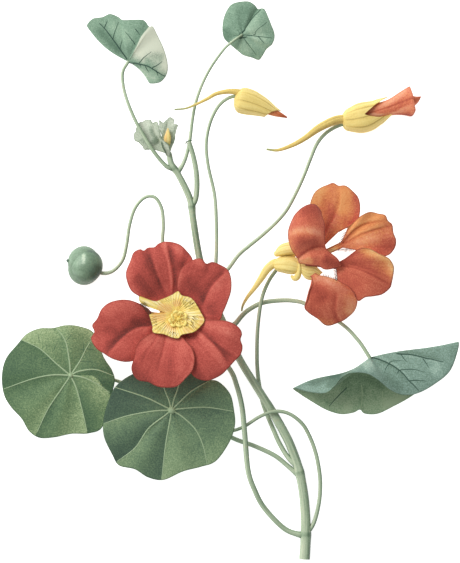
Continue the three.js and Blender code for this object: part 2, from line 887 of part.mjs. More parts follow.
// The pleated yellow throat lies over the claws; its margin is toothed like a fringe.
const RED_THROAT = {
  centre: [-22.6, -13.9, 21.6],
  arch: () => 0.25,
  veins: 24,
  puff: 0.35,
  margin: [
    [-10.9, -14.8, 25.0],
    [-12.2, -10.6, 24.0],
    [-15.4, -6.9, 23.6],
    [-20.6, -4.4, 23.4],
    [-25.6, -6.9, 22.4],
    [-30.0, -8.0, 22.6],
    [-35.8, -6.6, 23.5],
    [-34.4, -9.2, 23.0],
    [-26.6, -12.6, 22.0],
    [-33.0, -13.2, 23.3],
    [-32.2, -16.6, 23.4],
    [-30.6, -20.6, 25.2],
    [-25.5, -21.9, 25.4],
    [-20.6, -22.8, 25.7],
    [-16.5, -21.4, 25.4],
    [-12.4, -19.4, 25.4],
  ],
};
addPart(
  "red_throat",
  blade({
    place: shieldSurface(RED_THROAT),
    rows: 2,
    columns: 48,
    closed: true,
    thickness: FRINGE_THICKNESS,
  }),
  CALYX_YELLOW,
);

// Six stamens stand round the style on a low disc in the throat.
const STAMENS = 6;
const RED_STAMEN_BASE = [-21.6, -14.9, 23.8];

function stamenCluster([x, y, z], reach, height) {
  const disc = new THREE.SphereGeometry(1.4, 10, 4);
  disc.scale(1, 1, 0.4);
  disc.translate(x, y, z);
  const pieces = [disc];
  for (let i = 0; i < STAMENS; i += 1) {
    const angle = (i / STAMENS) * 2 * Math.PI;
    const out = (distance) => [x + distance * Math.cos(angle), y + distance * Math.sin(angle)];
    const tall = height * (1 + 0.15 * Math.cos(3 * angle));
    const route = [
      [...out(0.7), z],
      [...out(0.6 * reach), z + 0.8 * tall],
      [...out(reach), z + tall],
      [...out(reach + 1.0), z + 0.75 * tall],
    ];
    pieces.push(sweep(route, (u) => along([0.35, 0.32, 0.35, 0.75, 0.5], u), 5, 5));
  }
  return joined(pieces);
}
addPart("red_stamens", stamenCluster(RED_STAMEN_BASE, 2.6, 2.6), CALYX_YELLOW);

// Cup with five sepals spread under the petals, and the long spur of the upper sepal.
const RED_CUP = [[0, 14.4], [1.6, 14.4], [3.6, 16.2], [4.6, 18.4], [4.7, 19.5], [0, 19.5]];
const RED_SPUR_ROUTE = [
  [-24.0, -12.6, 16.4],
  [-27.6, -6.8, 15.4],
  [-31.4, -2.2, 12.8],
  [-35.4, 1.6, 10.0],
  [-38.4, 3.6, 8.4],
];
const SPUR_RADII = [2.2, 1.6, 1.1, 0.7, 0.4];
const SEPAL_LENGTH = 8.6;

function sepal([x, y], degrees, root, tip) {
  const angle = THREE.MathUtils.degToRad(degrees);
  const route = [0, 0.5, 1].map((share) => {
    const distance = mix(2.5, SEPAL_LENGTH, share);
    return [
      x + distance * Math.cos(angle),
      y + distance * Math.sin(angle),
      mix(root, tip, share ** 1.5),
    ];
  });
  const half = (s) => 2.0 * Math.sqrt(Math.max(0.05, 1 - s ** 2.4));
  const curve = curveThrough(route);
  const place = (s, t) => {
    const point = curve.getPoint(s);
    const side = (t - 0.5) * 2 * half(s);
    point.x -= side * Math.sin(angle);
    point.y += side * Math.cos(angle);
    point.z += 0.12 * side * side;
    return point;
  };
  return blade({ place, rows: 3, columns: 3, closed: false, thickness: 0.7 });
}

function redCalyx() {
  const profile = RED_CUP.map(([r, z]) => new THREE.Vector2(r, z));
  const cup = new THREE.LatheGeometry(profile, 14);
  cup.rotateX(Math.PI / 2);
  cup.translate(RED_CENTRE[0], RED_CENTRE[1], 0);
  const spur = sweep(RED_SPUR_ROUTE, (u) => along(SPUR_RADII, u), 6, 8);
  const sepals = [0, 1, 2, 3, 4].map((i) => sepal(RED_CENTRE, 72 * i - 1, 17.4, 18.2));
  return joined([cup, spur, ...sepals]);
}
const redCalyxSolid = addPart("red_calyx", redCalyx(), CALYX_YELLOW);

// ---- orange flower, looking to the right and up -----------------------------------------
const ORANGE_PETALS = {
  orange_petal_top: {
    claw: [[30.9, 7.6], [30.2, 8.8]],
    rungs: [[0.4, [43.0, 19.2], [31.0, 21.0]]],
    outline: [
      [44.4, 20.2],
      [47.2, 21.4],
      [50.3, 23.1],
      [51.5, 25.8],
      [51.8, 29.8],
      [51.0, 33.2],
      [48.8, 35.8],
      [46.0, 37.9],
      [43.2, 37.9],
      [41.0, 39.0],
      [38.4, 38.1],
      [36.0, 37.1],
      [33.7, 35.3],
      [32.3, 32.4],
      [31.4, 28.0],
      [31.0, 23.0],
    ],
    heights: [18.6, 17.2, 17.6, 18.4, 16.6],
    creases: [[0.4, -0.8, 0.1]],
    waves: 3,
  },
  orange_petal_upper_right: {
    claw: [[30.1, 7.4], [29.9, 8.6]],
    rungs: [[0.4, [44.8, 12.4], [45.4, 16.8]]],
    outline: [
      [61.8, 9.6],
      [64.0, 10.8],
      [65.8, 13.4],
      [66.1, 16.3],
      [65.1, 19.0],
      [64.6, 22.3],
      [62.9, 23.9],
      [61.8, 26.1],
      [59.0, 26.7],
      [55.8, 27.4],
      [52.2, 26.2],
      [49.2, 23.6],
      [46.6, 19.2],
    ],
    heights: [20.0, 20.0, 20.6, 21.0, 18.8],
    creases: [[0.6, -0.9, 0.1]],
    waves: 4,
  },
  orange_petal_lower_right: {
    claw: [[29.9, 5.9], [29.9, 7.1]],
    rungs: [
      [0.2, [42.0, 4.6], [42.8, 7.2]],
      [0.4, [43.2, 0.6], [46.0, 9.4]],
      [0.6, [48.6, -1.4], [50.2, 12.4]],
    ],
    outline: [
      [50.0, -3.6],
      [51.0, -8.0],
      [53.8, -6.7],
      [57.0, -6.3],
      [60.6, -5.5],
      [63.6, -3.0],
      [64.4, -0.8],
      [65.1, 3.5],
      [64.9, 6.2],
      [63.0, 9.0],
      [59.4, 10.4],
      [55.8, 12.6],
      [52.6, 13.1],
    ],
    heights: [20.4, 21.0, 23.2, 24.0, 21.6],
    creases: [[0.55, -1.0, 0.12]],
    waves: 4,
  },
  orange_petal_bottom: {
    claw: [[29.7, 3.6], [30.3, 5.2]],
    rungs: [[0.2, [32.6, 0.6], [36.8, 3.2]]],
    outline: [
      [32.2, -0.8],
      [31.0, -5.0],
      [30.1, -8.2],
      [29.9, -11.0],
      [31.8, -13.1],
      [35.0, -15.5],
      [37.4, -17.6],
      [39.8, -18.0],
      [44.2, -16.4],
      [46.8, -14.8],
      [49.6, -11.8],
      [50.6, -8.4],
      [50.0, -5.0],
      [47.4, -2.2],
      [42.4, 0.5],
      [38.8, 2.3],
    ],
    heights: [19.0, 20.2, 20.8, 18.8, 14.8],
    creases: [[0.45, -0.8, 0.1]],
    waves: 3,
  },
};
for (const [name, shape] of Object.entries(ORANGE_PETALS)) {
  addPart(name, petal(shape), PETAL_ORANGE);
}

// The near petal curls back over the calyx; its rows run from the lower edge, over the
// crease, to the outer margin.
const FRONT_PETAL_NET = [
  [[28.0, 6.2, 22.0], [31.4, 6.2, 23.6], [35.0, 5.4, 24.2], [38.5, 4.6, 24.4], [44.0, 6.1, 24.2]],
  [[27.2, 7.4, 23.0], [30.8, 8.8, 25.8], [34.6, 9.4, 26.4], [38.3, 9.2, 26.2], [42.4, 8.2, 25.4]],
  [[26.6, 8.8, 23.4], [29.9, 11.2, 25.4], [33.4, 12.7, 25.8], [36.9, 12.9, 25.6], [39.6, 11.6, 25.2]],
  [[24.4, 12.0, 24.6], [28.4, 15.5, 29.0], [32.6, 17.0, 30.2], [36.0, 17.6, 29.0], [38.0, 17.0, 26.8]],
  [[23.2, 17.4, 24.8], [26.6, 20.5, 29.4], [31.2, 22.4, 30.6], [35.2, 23.0, 29.0], [37.8, 22.5, 26.4]],
  [[23.6, 23.2, 23.8], [26.4, 27.2, 26.0], [30.1, 29.8, 26.6], [33.8, 30.2, 25.6], [36.6, 27.8, 24.4]],
];
addPart(
  "orange_petal_front",
  blade({
    place: sheetSurface(FRONT_PETAL_NET),
    rows: 9,
    columns: 8,
    closed: false,
    thickness: PETAL_THICKNESS,
  }),
  PETAL_ORANGE,
);

const ORANGE_CUP_ROUTE = [[18.6, 7.6, 16.0], [22.0, 6.8, 16.8], [26.0, 6.0, 17.6], [29.4, 5.6, 18.0]];
const ORANGE_SPUR_ROUTE = [
  [21.2, 7.6, 16.4],
  [17.8, 6.8, 16.8],
  [14.4, 4.4, 16.4],
  [12.0, 0.6, 15.4],
  [9.6, -3.8, 14.0],
  [7.2, -7.2, 12.6],
  [5.4, -10.0, 11.6],
  [4.6, -11.6, 11.2],
];
const ORANGE_BACK_SEPAL = [[18.9, 9.2, 16.4], [21.4, 11.2, 16.8], [25.4, 12.6, 17.4]];
const ORANGE_REFLEXED_SEPAL = [[28.4, 5.0, 17.4], [27.9, 2.2, 18.0], [26.2, 0.4, 17.0]];

function orangeCalyx() {
  const cupRadius = (u, angle) => along([1.6, 3.3, 3.6, 3.3], u) * (1 + 0.05 * Math.cos(5 * angle));
  const cup = sweep(ORANGE_CUP_ROUTE, cupRadius, 15, 6);
  const spur = sweep(ORANGE_SPUR_ROUTE, (u) => along([1.6, 1.5, 1.2, 0.9, 0.65, 0.4], u), 6, 9);
  const backSepal = sweep(ORANGE_BACK_SEPAL, (u) => along([1.2, 2.2, 2.2, 0.8], u), 8, 4);
  const reflexed = sweep(ORANGE_REFLEXED_SEPAL, (u) => along([1.0, 1.2, 0.9, 0.4], u), 6, 4);
  return joined([cup, spur, backSepal, reflexed]);
}
const orangeCalyxSolid = addPart("orange_calyx", orangeCalyx(), CALYX_YELLOW);

// ---- buds -------------------------------------------------------------------------------
const LEFT_BUD_BODY = [
  [1.6, 72.6, 12.4],
  [6.5, 71.6, 12.5],
  [11.5, 69.9, 12.6],
  [16.6, 67.6, 12.6],
];
const LEFT_BUD_TIP = [[17.0, 67.4, 12.6], [19.6, 66.4, 12.6], [22.6, 65.2, 12.4]];
const LEFT_BUD_SPUR = [
  [4.4, 74.8, 13.6],
  [-0.6, 75.6, 14.0],
  [-5.6, 74.7, 14.2],
  [-9.2, 72.7, 14.0],
  [-14.3, 70.2, 13.6],
  [-18.0, 68.8, 13.4],
  [-22.2, 68.4, 13.4],
];
const RIGHT_BUD_BODY = [
  [43.6, 63.9, 5.6],
  [48.0, 64.9, 5.5],
  [53.6, 66.2, 5.5],
  [60.0, 68.4, 6.0],
];
const RIGHT_BUD_PETALS = [
  [60.6, 68.6, 6.2],
  [64.6, 69.9, 6.8],
  [69.6, 71.8, 7.4],
  [74.6, 73.6, 7.8],
];
const RIGHT_BUD_SPUR = [
  [46.8, 64.8, 6.6],
  [40.0, 63.4, 8.0],
  [35.0, 60.8, 8.6],
  [29.8, 57.0, 8.8],
  [24.8, 54.2, 8.6],
  [19.0, 52.2, 8.2],
  [14.7, 52.5, 8.0],
];
const ribbed = (ribs, depth) => (radii) => (u, angle) =>
  along(radii, u) * (1 + depth * Math.cos(ribs * angle));

function budCalyx(body, radii, spurRoute, spurRadii) {
  const cup = sweep(body, ribbed(5, 0.06)(radii), 15, 8);
  const spur = sweep(spurRoute, (u) => along(spurRadii, u), 6, 9);
  return joined([cup, spur]);
}
const leftBud = budCalyx(
  LEFT_BUD_BODY,
  [2.0, 4.1, 4.4, 3.8, 2.9, 2.0],
  LEFT_BUD_SPUR,
  [1.2, 0.9, 0.75, 0.6, 0.45, 0.3],
);
addPart("left_bud_calyx", leftBud, CALYX_YELLOW);
const leftTip = (u, angle) => along([1.8, 1.2, 0.35], u) * (1 + 0.1 * Math.cos(3 * angle));
addPart("left_bud_petals", sweep(LEFT_BUD_TIP, leftTip, 12, 5), PETAL_ORANGE);

const rightBud = budCalyx(
  RIGHT_BUD_BODY,
  [2.6, 5.0, 5.8, 5.4, 4.6],
  RIGHT_BUD_SPUR,
  [1.6, 1.3, 1.1, 0.9, 0.7, 0.4],
);
addPart("right_bud_calyx", cutBy(rightBud, [groundUnder(rightBud)]), CALYX_YELLOW);
const furled = (u, angle) =>
  along([3.6, 3.2, 3.8, 4.6, 3.4], u) * (1 + 0.14 * Math.cos(3 * angle + 5 * u));
addPart("right_bud_petals", sweep(RIGHT_BUD_PETALS, furled, 15, 7), PETAL_ORANGE);

// ---- fruit ------------------------------------------------------------------------------
// Three round carpels about an axis from the stalk to the remnant of the style.
const FRUIT_CENTRE = [-58.2, 6.2, 6.0];
const CARPEL_RADIUS = 4.9;
const CARPEL_OFFSET = 2.7;
const FRUIT_HEADING = THREE.MathUtils.degToRad(158);

function fruitBody() {
  const across = [-Math.sin(FRUIT_HEADING), Math.cos(FRUIT_HEADING)];
  const carpels = [90, 210, 330].map((degrees) => {
    const angle = THREE.MathUtils.degToRad(degrees);
    const ball = new THREE.SphereGeometry(CARPEL_RADIUS, 14, 8);
    const side = CARPEL_OFFSET * Math.cos(angle);
    const [x, y, z] = FRUIT_CENTRE;
    ball.translate(
      x + side * across[0],
      y + side * across[1],
      z + CARPEL_OFFSET * Math.sin(angle),
    );
    return ball;
  });
  const whole = joined(carpels);
  return cutBy(whole, [groundUnder(whole)]);
}
const fruit = addPart("fruit", fruitBody(), FRUIT_GREEN);

// ---- stalks are seated last, each clear of the organ that it bears -----------------------
function grown(geometry, extra) {
  const merged = mergeVertices(geometry.clone().deleteAttribute("normal"), 1e-4);
  merged.computeVertexNormals();
  const { position, normal } = merged.attributes;
  for (let i = 0; i < position.count; i += 1) {
    position.setXYZ(
      i,
      position.getX(i) + normal.getX(i) * extra,
      position.getY(i) + normal.getY(i) * extra,
      position.getZ(i) + normal.getZ(i) * extra,
    );
  }
  return merged;
}
seats.flower_stalk_red = [grown(redCalyxSolid, SEAT)];
seats.flower_stalk_orange = [grown(orangeCalyxSolid, SEAT)];
seats.bud_stalk_left = [grown(leftBud, SEAT)];
seats.bud_stalk_right = [grown(rightBud, SEAT)];
seats.fruit_stalk = [grown(fruit, SEAT)];
addStalks();

export default sprig;
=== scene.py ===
# %% [markdown]
# # A cut sprig of nasturtium
#
# The real thing is one living plant part, so nothing in it is a box or a cylinder: stalks are
# long tapered tubes, leaves and petals are thin curved sheets, and buds and the fruit are
# swollen ribbed bodies. This lesson dresses the plain solids of the sprig, which stay hidden
# under it, with finer pieces of the same form. Meshes made by formula were chosen over
# sculpting, because every stalk, blade and petal follows a few measured points.

# %% Load the plain solids
import json
import math

import bpy
import numpy as np
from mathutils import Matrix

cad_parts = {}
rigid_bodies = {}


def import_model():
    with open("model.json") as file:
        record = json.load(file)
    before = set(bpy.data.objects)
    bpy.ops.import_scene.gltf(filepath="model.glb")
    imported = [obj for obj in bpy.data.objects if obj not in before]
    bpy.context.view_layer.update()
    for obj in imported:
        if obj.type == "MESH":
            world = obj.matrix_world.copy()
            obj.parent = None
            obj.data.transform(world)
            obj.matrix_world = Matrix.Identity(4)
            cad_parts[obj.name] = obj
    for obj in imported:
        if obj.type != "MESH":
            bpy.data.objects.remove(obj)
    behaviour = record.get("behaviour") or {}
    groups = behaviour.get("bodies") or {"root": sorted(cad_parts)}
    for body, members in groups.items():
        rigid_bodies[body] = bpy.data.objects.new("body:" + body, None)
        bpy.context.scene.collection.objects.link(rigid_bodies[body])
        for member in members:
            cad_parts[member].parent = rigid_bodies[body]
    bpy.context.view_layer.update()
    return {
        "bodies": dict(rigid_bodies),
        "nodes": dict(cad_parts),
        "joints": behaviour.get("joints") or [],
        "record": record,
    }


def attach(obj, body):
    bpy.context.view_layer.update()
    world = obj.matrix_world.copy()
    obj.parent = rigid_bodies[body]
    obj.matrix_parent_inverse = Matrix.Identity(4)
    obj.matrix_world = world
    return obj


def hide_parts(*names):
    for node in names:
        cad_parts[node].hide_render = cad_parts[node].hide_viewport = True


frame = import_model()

# %% [markdown]
# ## Curves
#
# A stalk's middle line and a petal's outline are both smooth curves through a few points. A
# Blender curve object could hold them, but the shapes here also need the point at any share
# of the way, so a small class holds the curve as numbers. All the shapes are in millimetres,
# and a path is written as text, because so many brackets would be hard to read.


# %% A smooth line through points
def path(text):
    """Points from text: spaces part the numbers of a point, commas part the points."""
    return [tuple(map(float, point.split())) for point in text.split(",")]


def paths(text):
    """Paths from text, with semicolons between them."""
    return [path(line) for line in text.split(";")]


def labelled(text):
    """Paths with numbers before them, as in "1 2: 0 0, 3 4"."""
    rows = [row.split(":") for row in text.split(";")]
    return [(tuple(map(float, values.split())), path(line)) for values, line in rows]


def slopes_of(stops):
    """The slope at each stop, read off its neighbours. Both ends run on straight."""
    ends = np.concatenate([2 * stops[:1] - stops[1:2], stops, 2 * stops[-1:] - stops[-2:-1]])
    return (ends[2:] - ends[:-2]) / 2


def stop_before(share, count):
    """The stop before a share of the way, and how far on the share lies towards the next."""
    place = np.clip(share, 0, 1) * (count - 1)
    first = np.minimum(place.astype(int), count - 2)
    return first, (place - first)[..., None]


def spline(u, near, far, near_slope, far_slope):
    """The points at u from 0 to 1 between two stops."""
    mixed = (2 * u**3 - 3 * u**2 + 1) * near + (3 * u**2 - 2 * u**3) * far
    return mixed + (u**3 - 2 * u**2 + u) * near_slope + (u**3 - u**2) * far_slope


class Line:
    """A smooth curve through points."""

    def __init__(self, points, closed=False):
        stops = np.array(points, float)
        slopes = slopes_of(stops)
        if closed:
            slopes = (np.roll(stops, -1, 0) - np.roll(stops, 1, 0)) / 2
            stops, slopes = np.vstack([stops, stops[:1]]), np.vstack([slopes, slopes[:1]])
        self.stops, self.slopes = stops, slopes
        self.steps = np.linspace(0, 1, 40 * (len(stops) - 1) + 1)
        runs = np.linalg.norm(np.diff(self.at(self.steps), axis=0), axis=1)
        self.runs = np.concatenate([[0], np.cumsum(runs)])
        self.length = self.runs[-1]

    def at(self, share):
        """The points at these shares of the way, counted in stops."""
        first, u = stop_before(share, len(self.stops))
        pairs = [values[k] for values in (self.stops, self.slopes) for k in (first, first + 1)]
        return spline(u, *pairs)

    def run(self, share):
        """The points at these shares of the curve's length."""
        return self.at(np.interp(np.asarray(share) * self.length, self.runs, self.steps))


def along(values, share):
    """A value read smoothly off an evenly spaced list."""
    return Line([[value] for value in values]).at(np.asarray(share, float))[..., 0]


def bump(share, centre, width):
    return np.exp(-(((share - centre) / width) ** 2))


def unit(vectors):
    return vectors / np.maximum(np.linalg.norm(vectors, axis=-1, keepdims=True), 1e-9)


print("a line of two stops is", Line([[0, 0, 0], [3, 4, 0]]).length, "mm long")

# %% [markdown]
# ## Forms and pieces
#
# A form is a bare mesh with marks: one number on every point, such as how far along a stalk it
# lies or how dark the tissue is there. Vertex groups or textures could carry such numbers, but
# named attributes are read straight by a material. A piece shows one or more forms as one
# object, rides on the sprig's only body and says which solids it stands for.


# %% Forms that become Blender objects
class Form:
    """Points, blocks of faces with a finish each, and marks: a number, or one for each point."""

    def __init__(self, points, blocks, marks=None):
        self.points, self.blocks, self.marks = points, blocks, marks or {}


def placed(name, data):
    """A new object that holds the data, in the scene."""
    thing = bpy.data.objects.new(name, data)
    bpy.context.scene.collection.objects.link(thing)
    return thing


# Tissue without a rim of its own counts as this far from one, in millimetres.
FAR_FROM_RIM = 9.0


def show(name, forms, finishes, node=None):
    """Makes one object of the forms. finishes are its materials, in the blocks' order."""
    faces, kinds, offset = [], [], 0
    for form in forms:
        for block, kind in form.blocks:
            faces.extend((block + offset).tolist())
            kinds.extend([kind] * len(block))
        offset += len(form.points)
    mesh = bpy.data.meshes.new(name)
    points = np.vstack([form.points for form in forms]) / 1000
    mesh.from_pydata(points.tolist(), [], faces)
    mesh.shade_smooth()
    mesh.polygons.foreach_set("material_index", kinds)
    for mark in sorted({"rim"}.union(*[form.marks for form in forms])):
        plain = FAR_FROM_RIM if mark == "rim" else 0.0
        values = [np.broadcast_to(form.marks.get(mark, plain), len(form.points)) for form in forms]
        layer = mesh.attributes.new(mark, "FLOAT", "POINT")
        layer.data.foreach_set("value", np.concatenate(values).astype(np.float32))
    for finish in finishes:
        mesh.materials.append(finish)
    piece = placed(name, mesh)
    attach(piece, "root")
    if node:
        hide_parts(node)
    print(f"{name}: {sum(len(face) - 2 for face in faces)} triangles")


# %% [markdown]
# ## Round organs
#
# Stalks, stems, spurs, buds and stamens are tubes whose radius changes along the way. Blender's
# curve bevel makes such tubes, but not ribs, swollen joints or marks, so the rings are laid
# out here. Each ring is turned as little as possible against the one before it.


# %% Tubes
def rings_along(line, count):
    """Centres, tangents and the two cross directions of evenly spaced rings."""
    share = np.linspace(0, 1, count + 1)
    centres = line.run(share)
    tangents = unit(np.gradient(centres, axis=0))
    first = np.array([0.0, 0.0, -1.0])
    if abs(tangents[0][2]) > 0.95:
        first = np.array([0.0, 1.0, 0.0])
    firsts = []
    for tangent in tangents:
        first = unit(first - tangent * first.dot(tangent))
        firsts.append(first)
    firsts = np.array(firsts)
    return share, centres, tangents, firsts, np.cross(tangents, firsts)


# The direction that painted light comes from: the lit mark says how far a surface faces it, and
# finishes paint the surface lighter where it does.
LIGHT_SIDE = unit(np.array([-0.75, 0.35, 0.55]))


def tube(route, radius, sides=16, step=1.2, caps=("round", "round"), kinds=(0, 1, 2)):
    """A tube of radius(share, angle). A cut cap has a rim and a pith of their own kinds."""
    line = route if isinstance(route, Line) else Line(route)
    count = max(5, round(line.length / step))
    share, centres, tangents, firsts, seconds = rings_along(line, count)
    angles = (np.arange(sides) + 0.5) / sides * 2 * np.pi
    cos, sin = np.cos(angles), np.sin(angles)
    outward = firsts[:, None] * cos[:, None] + seconds[:, None] * sin[:, None]
    reach = radius(share[:, None], angles[None, :]) * np.ones((count + 1, sides))
    points = (centres[:, None] + outward * reach[..., None]).reshape(-1, 3)
    outs = outward.reshape(-1, 3)
    lengths = np.repeat(share * line.length, sides)
    index = np.arange((count + 1) * sides).reshape(count + 1, sides)
    turn = lambda loop: np.roll(loop, -1, -1)
    here, there = index[:-1], index[1:]
    quads = np.stack([here, turn(here), turn(there), there], -1).reshape(-1, 4)
    blocks = [(quads, kinds[0])]
    for end, cap in zip((0, count), caps):
        if cap == "round":
            levels, dome = [(math.cos(a), math.sin(a)) for a in (0.4, 0.8, 1.2)], 1.0
            loops, cap_kinds = [index[end]], kinds[:1] * 4
        else:
            levels, dome = [(1.0, 0.0), (0.8, 0.0), (0.4, 0.0)], 0.0
            loops, cap_kinds = [], (kinds[1], kinds[2], kinds[2])
        away = -tangents[0] if end == 0 else tangents[-1]
        height = reach[end].mean()
        for shrink, rise in levels:
            loops.append(np.arange(sides) + len(points))
            ring = centres[end] + outward[end] * (reach[end] * shrink)[:, None]
            points = np.vstack([points, ring + away * rise * height])
        tip = len(points)
        points = np.vstack([points, centres[end] + away * height * dome])
        outs = np.vstack([outs, *[outward[end]] * 3, away])
        lengths = np.append(lengths, np.full(3 * sides + 1, share[end] * line.length))
        cap_blocks = [np.stack([a, turn(a), turn(b), b], -1) for a, b in zip(loops, loops[1:])]
        cap_blocks.append(np.stack([loops[-1], turn(loops[-1]), np.full(sides, tip)], -1))
        for block, kind in zip(cap_blocks, cap_kinds):
            blocks.append((block[:, ::-1] if end == 0 else block, kind))
    spun = lambda values: np.concatenate(
        [np.tile(values, count + 1), *[np.tile(values, 3), [0.0]] * 2])
    marks = {
        "length": lengths, "share": lengths / line.length, "lit": outs @ LIGHT_SIDE,
        "turn_x": spun(cos), "turn_y": spun(sin),
    }
    return Form(points, blocks, marks)


def ribbed(radii, ribs=0, depth=0.0):
    """The radius of a tube, read smoothly off a list, with ribs round it."""
    return lambda u, a: along(radii, u) * (1 + depth * np.cos(ribs * a))


print("ring of a straight tube:", tube([[0, 0, 0], [6, 0, 0]], lambda u, a: 1.0).points.shape)

# %% [markdown]
# ## Thin organs
#
# Leaves and petals are sheets a third of a millimetre thick. A plane with a Solidify modifier
# would do, but both faces and the rim need finishes and marks of their own, so the sheet is
# built from a formula: s runs from its base to the margin and t across it, or round it.


# %% Sheets with two faces and a rim
def facing(grid, closed):
    """The direction that the s-t side of each point of a grid looks in."""
    if closed:
        around = np.roll(grid, -1, 1) - np.roll(grid, 1, 1)
    else:
        around = np.gradient(grid, axis=1)
    normals = unit(np.cross(np.gradient(grid, axis=0), around))
    if closed:
        normals[0] = unit(normals[1].mean(0))
    return normals


def sheet(place, rows, columns, thickness, marks, closed=False, lift=None):
    """A sheet of thickness(s). marks(s, t, points) gives its marks and lift what to raise."""
    s, t = np.meshgrid(
        np.linspace(0, 1, rows + 1),
        np.linspace(0, 1, columns + (0 if closed else 1), endpoint=not closed),
        indexing="ij",
    )
    grid = place(s, t)
    values = marks(s, t, grid)
    if lift:
        grid = grid + facing(grid, closed) * lift(values)[..., None]
    half = facing(grid, closed) * np.broadcast_to(thickness(s) / 2, s.shape)[..., None]
    points = np.vstack([(grid + half).reshape(-1, 3), (grid - half).reshape(-1, 3)])
    size = s.size
    index = np.arange(size).reshape(s.shape)
    if closed:
        index = np.hstack([index, index[:, :1]])
    a, b, c, d = index[:-1, :-1], index[:-1, 1:], index[1:, 1:], index[1:, :-1]
    upper = np.stack([a, d, c, b], -1).reshape(-1, 4)
    lower = (np.stack([a, b, c, d], -1) + size).reshape(-1, 4)
    edges, extra = [(index[-1, :-1], index[-1, 1:])], []
    if closed:
        hub = len(a[0])
        upper, lower = upper[hub:], lower[hub:]
        near, far, middle = index[1, :-1], index[1, 1:], np.zeros(hub, int)
        extra = [(np.stack([near, far, middle], -1), 0),
                 (np.stack([far, near, middle], -1) + size, 1)]
    else:
        edges.append((index[0, 1:], index[0, :-1]))
        edges += [(index[:-1, 0], index[1:, 0]), (index[1:, -1], index[:-1, -1])]
    rims = np.vstack([np.stack([p, p + size, q + size, q], -1) for p, q in edges])
    blocks = [(upper, 0), (lower, 1), (rims, 0), *extra]
    spread = lambda value: np.tile(np.broadcast_to(value, s.shape).ravel(), 2)
    values = {name: spread(value) for name, value in values.items()}
    if closed:
        points, blocks, values = without_hub(points, blocks, values, s.shape)
    return Form(points, blocks, values)


def without_hub(points, blocks, values, shape):
    """Drops the repeated points of a closed sheet's first ring."""
    size = shape[0] * shape[1]
    keep = np.ones(2 * size, bool)
    keep[1 : shape[1]] = False
    keep[size + 1 : size + shape[1]] = False
    renumber = np.cumsum(keep) - 1
    blocks = [(renumber[block], kind) for block, kind in blocks]
    return points[keep], blocks, {name: value[keep] for name, value in values.items()}


print("sheets ready")

# %% [markdown]
# ## Brush strokes
#
# A petal isn't one flat red: it is painted darker in its valleys and lighter on its ridges, as
# shade and highlight, with a sharp change at each fold. Tones brushed on by hand would be lost
# when a shape changes, so each fold is a line in plan with a tone and a width on its left and
# on its right. The same numbers paint the shade and light into the finish and raise or lower
# the tissue.


# %% Folds and shades across a sheet
def beside(plan, line):
    """For plan points: distance to a line, how far left of it they are, and where along it."""
    line = line[np.append(True, np.linalg.norm(np.diff(line, axis=0), axis=1) > 1e-6)]
    start, step = line[:-1], np.diff(line, axis=0)
    offset = plan[..., None, :] - start
    share = np.clip((offset * step).sum(-1) / (step**2).sum(-1), 0, 1)
    apart = np.linalg.norm(offset - share[..., None] * step, axis=-1)
    left = step[:, 0] * offset[..., 1] - step[:, 1] * offset[..., 0]
    left = left / np.linalg.norm(step, axis=-1)
    nearest = apart.argmin(-1)[..., None]
    pick = lambda values: np.take_along_axis(values, nearest, -1)[..., 0]
    return pick(apart), pick(left), (pick(share) + nearest[..., 0]) / len(step)


BLUR_MM, FADE = 0.18, 0.2


def brushed(plan, strokes):
    """The sum of strokes. They fade over their first and last fifth."""
    total = np.zeros(plan.shape[:-1])
    for points, left_tone, left_width, right_tone, right_width in strokes:
        line = Line(points).at(np.linspace(0, 1, 8 * len(points)))
        apart, left, share = beside(plan, line)
        side = 1 / (1 + np.exp(-np.clip(left / BLUR_MM, -30, 30)))
        left_value = left_tone * np.exp(-((apart / left_width) ** 2))
        right_value = right_tone * np.exp(-((apart / right_width) ** 2))
        ends = np.clip(np.minimum(share, 1 - share) / FADE, 0, 1)
        total += (side * left_value + (1 - side) * right_value) * ends
    return total


def strokes_of(text):
    """Strokes: a tone and a width, or such a pair for the left and one for the right side."""
    return [(line, *values[:2], *values[-2:]) for values, line in labelled(text)]


def rim_distance(plan, outline):
    """How far plan points are from a closed outline."""
    return beside(plan, np.vstack([outline, outline[:1]]))[0]


print("a stroke's tone on its line:", brushed(np.array([[1.0, 0.0]]), strokes_of("1 1: 0 0, 2 0")))

# %% [markdown]
# ## Finishes
#
# Plant tissue is matt with a faint sheen, and its colour is broken by tiny dots. An image
# texture would hold that too, but a node material stays sharp and needs no unwrapping. Each
# finish is a Principled shader fed by marks and by noise measured in millimetres.


# %% Materials built node by node
def ink(red, green, blue):
    """A paint colour from 0 to 255 as the linear colour that a shader wants."""
    shares = [channel / 255 for channel in (red, green, blue)]
    linear = [s / 12.92 if s <= 0.04045 else ((s + 0.055) / 1.055) ** 2.4 for s in shares]
    return (*linear, 1.0)


def tones(text):
    """The stops of a ramp: a tone from -1 to 1, then its red, green and blue."""
    return [(tone, ink(*paint)) for tone, *paint in path(text)]


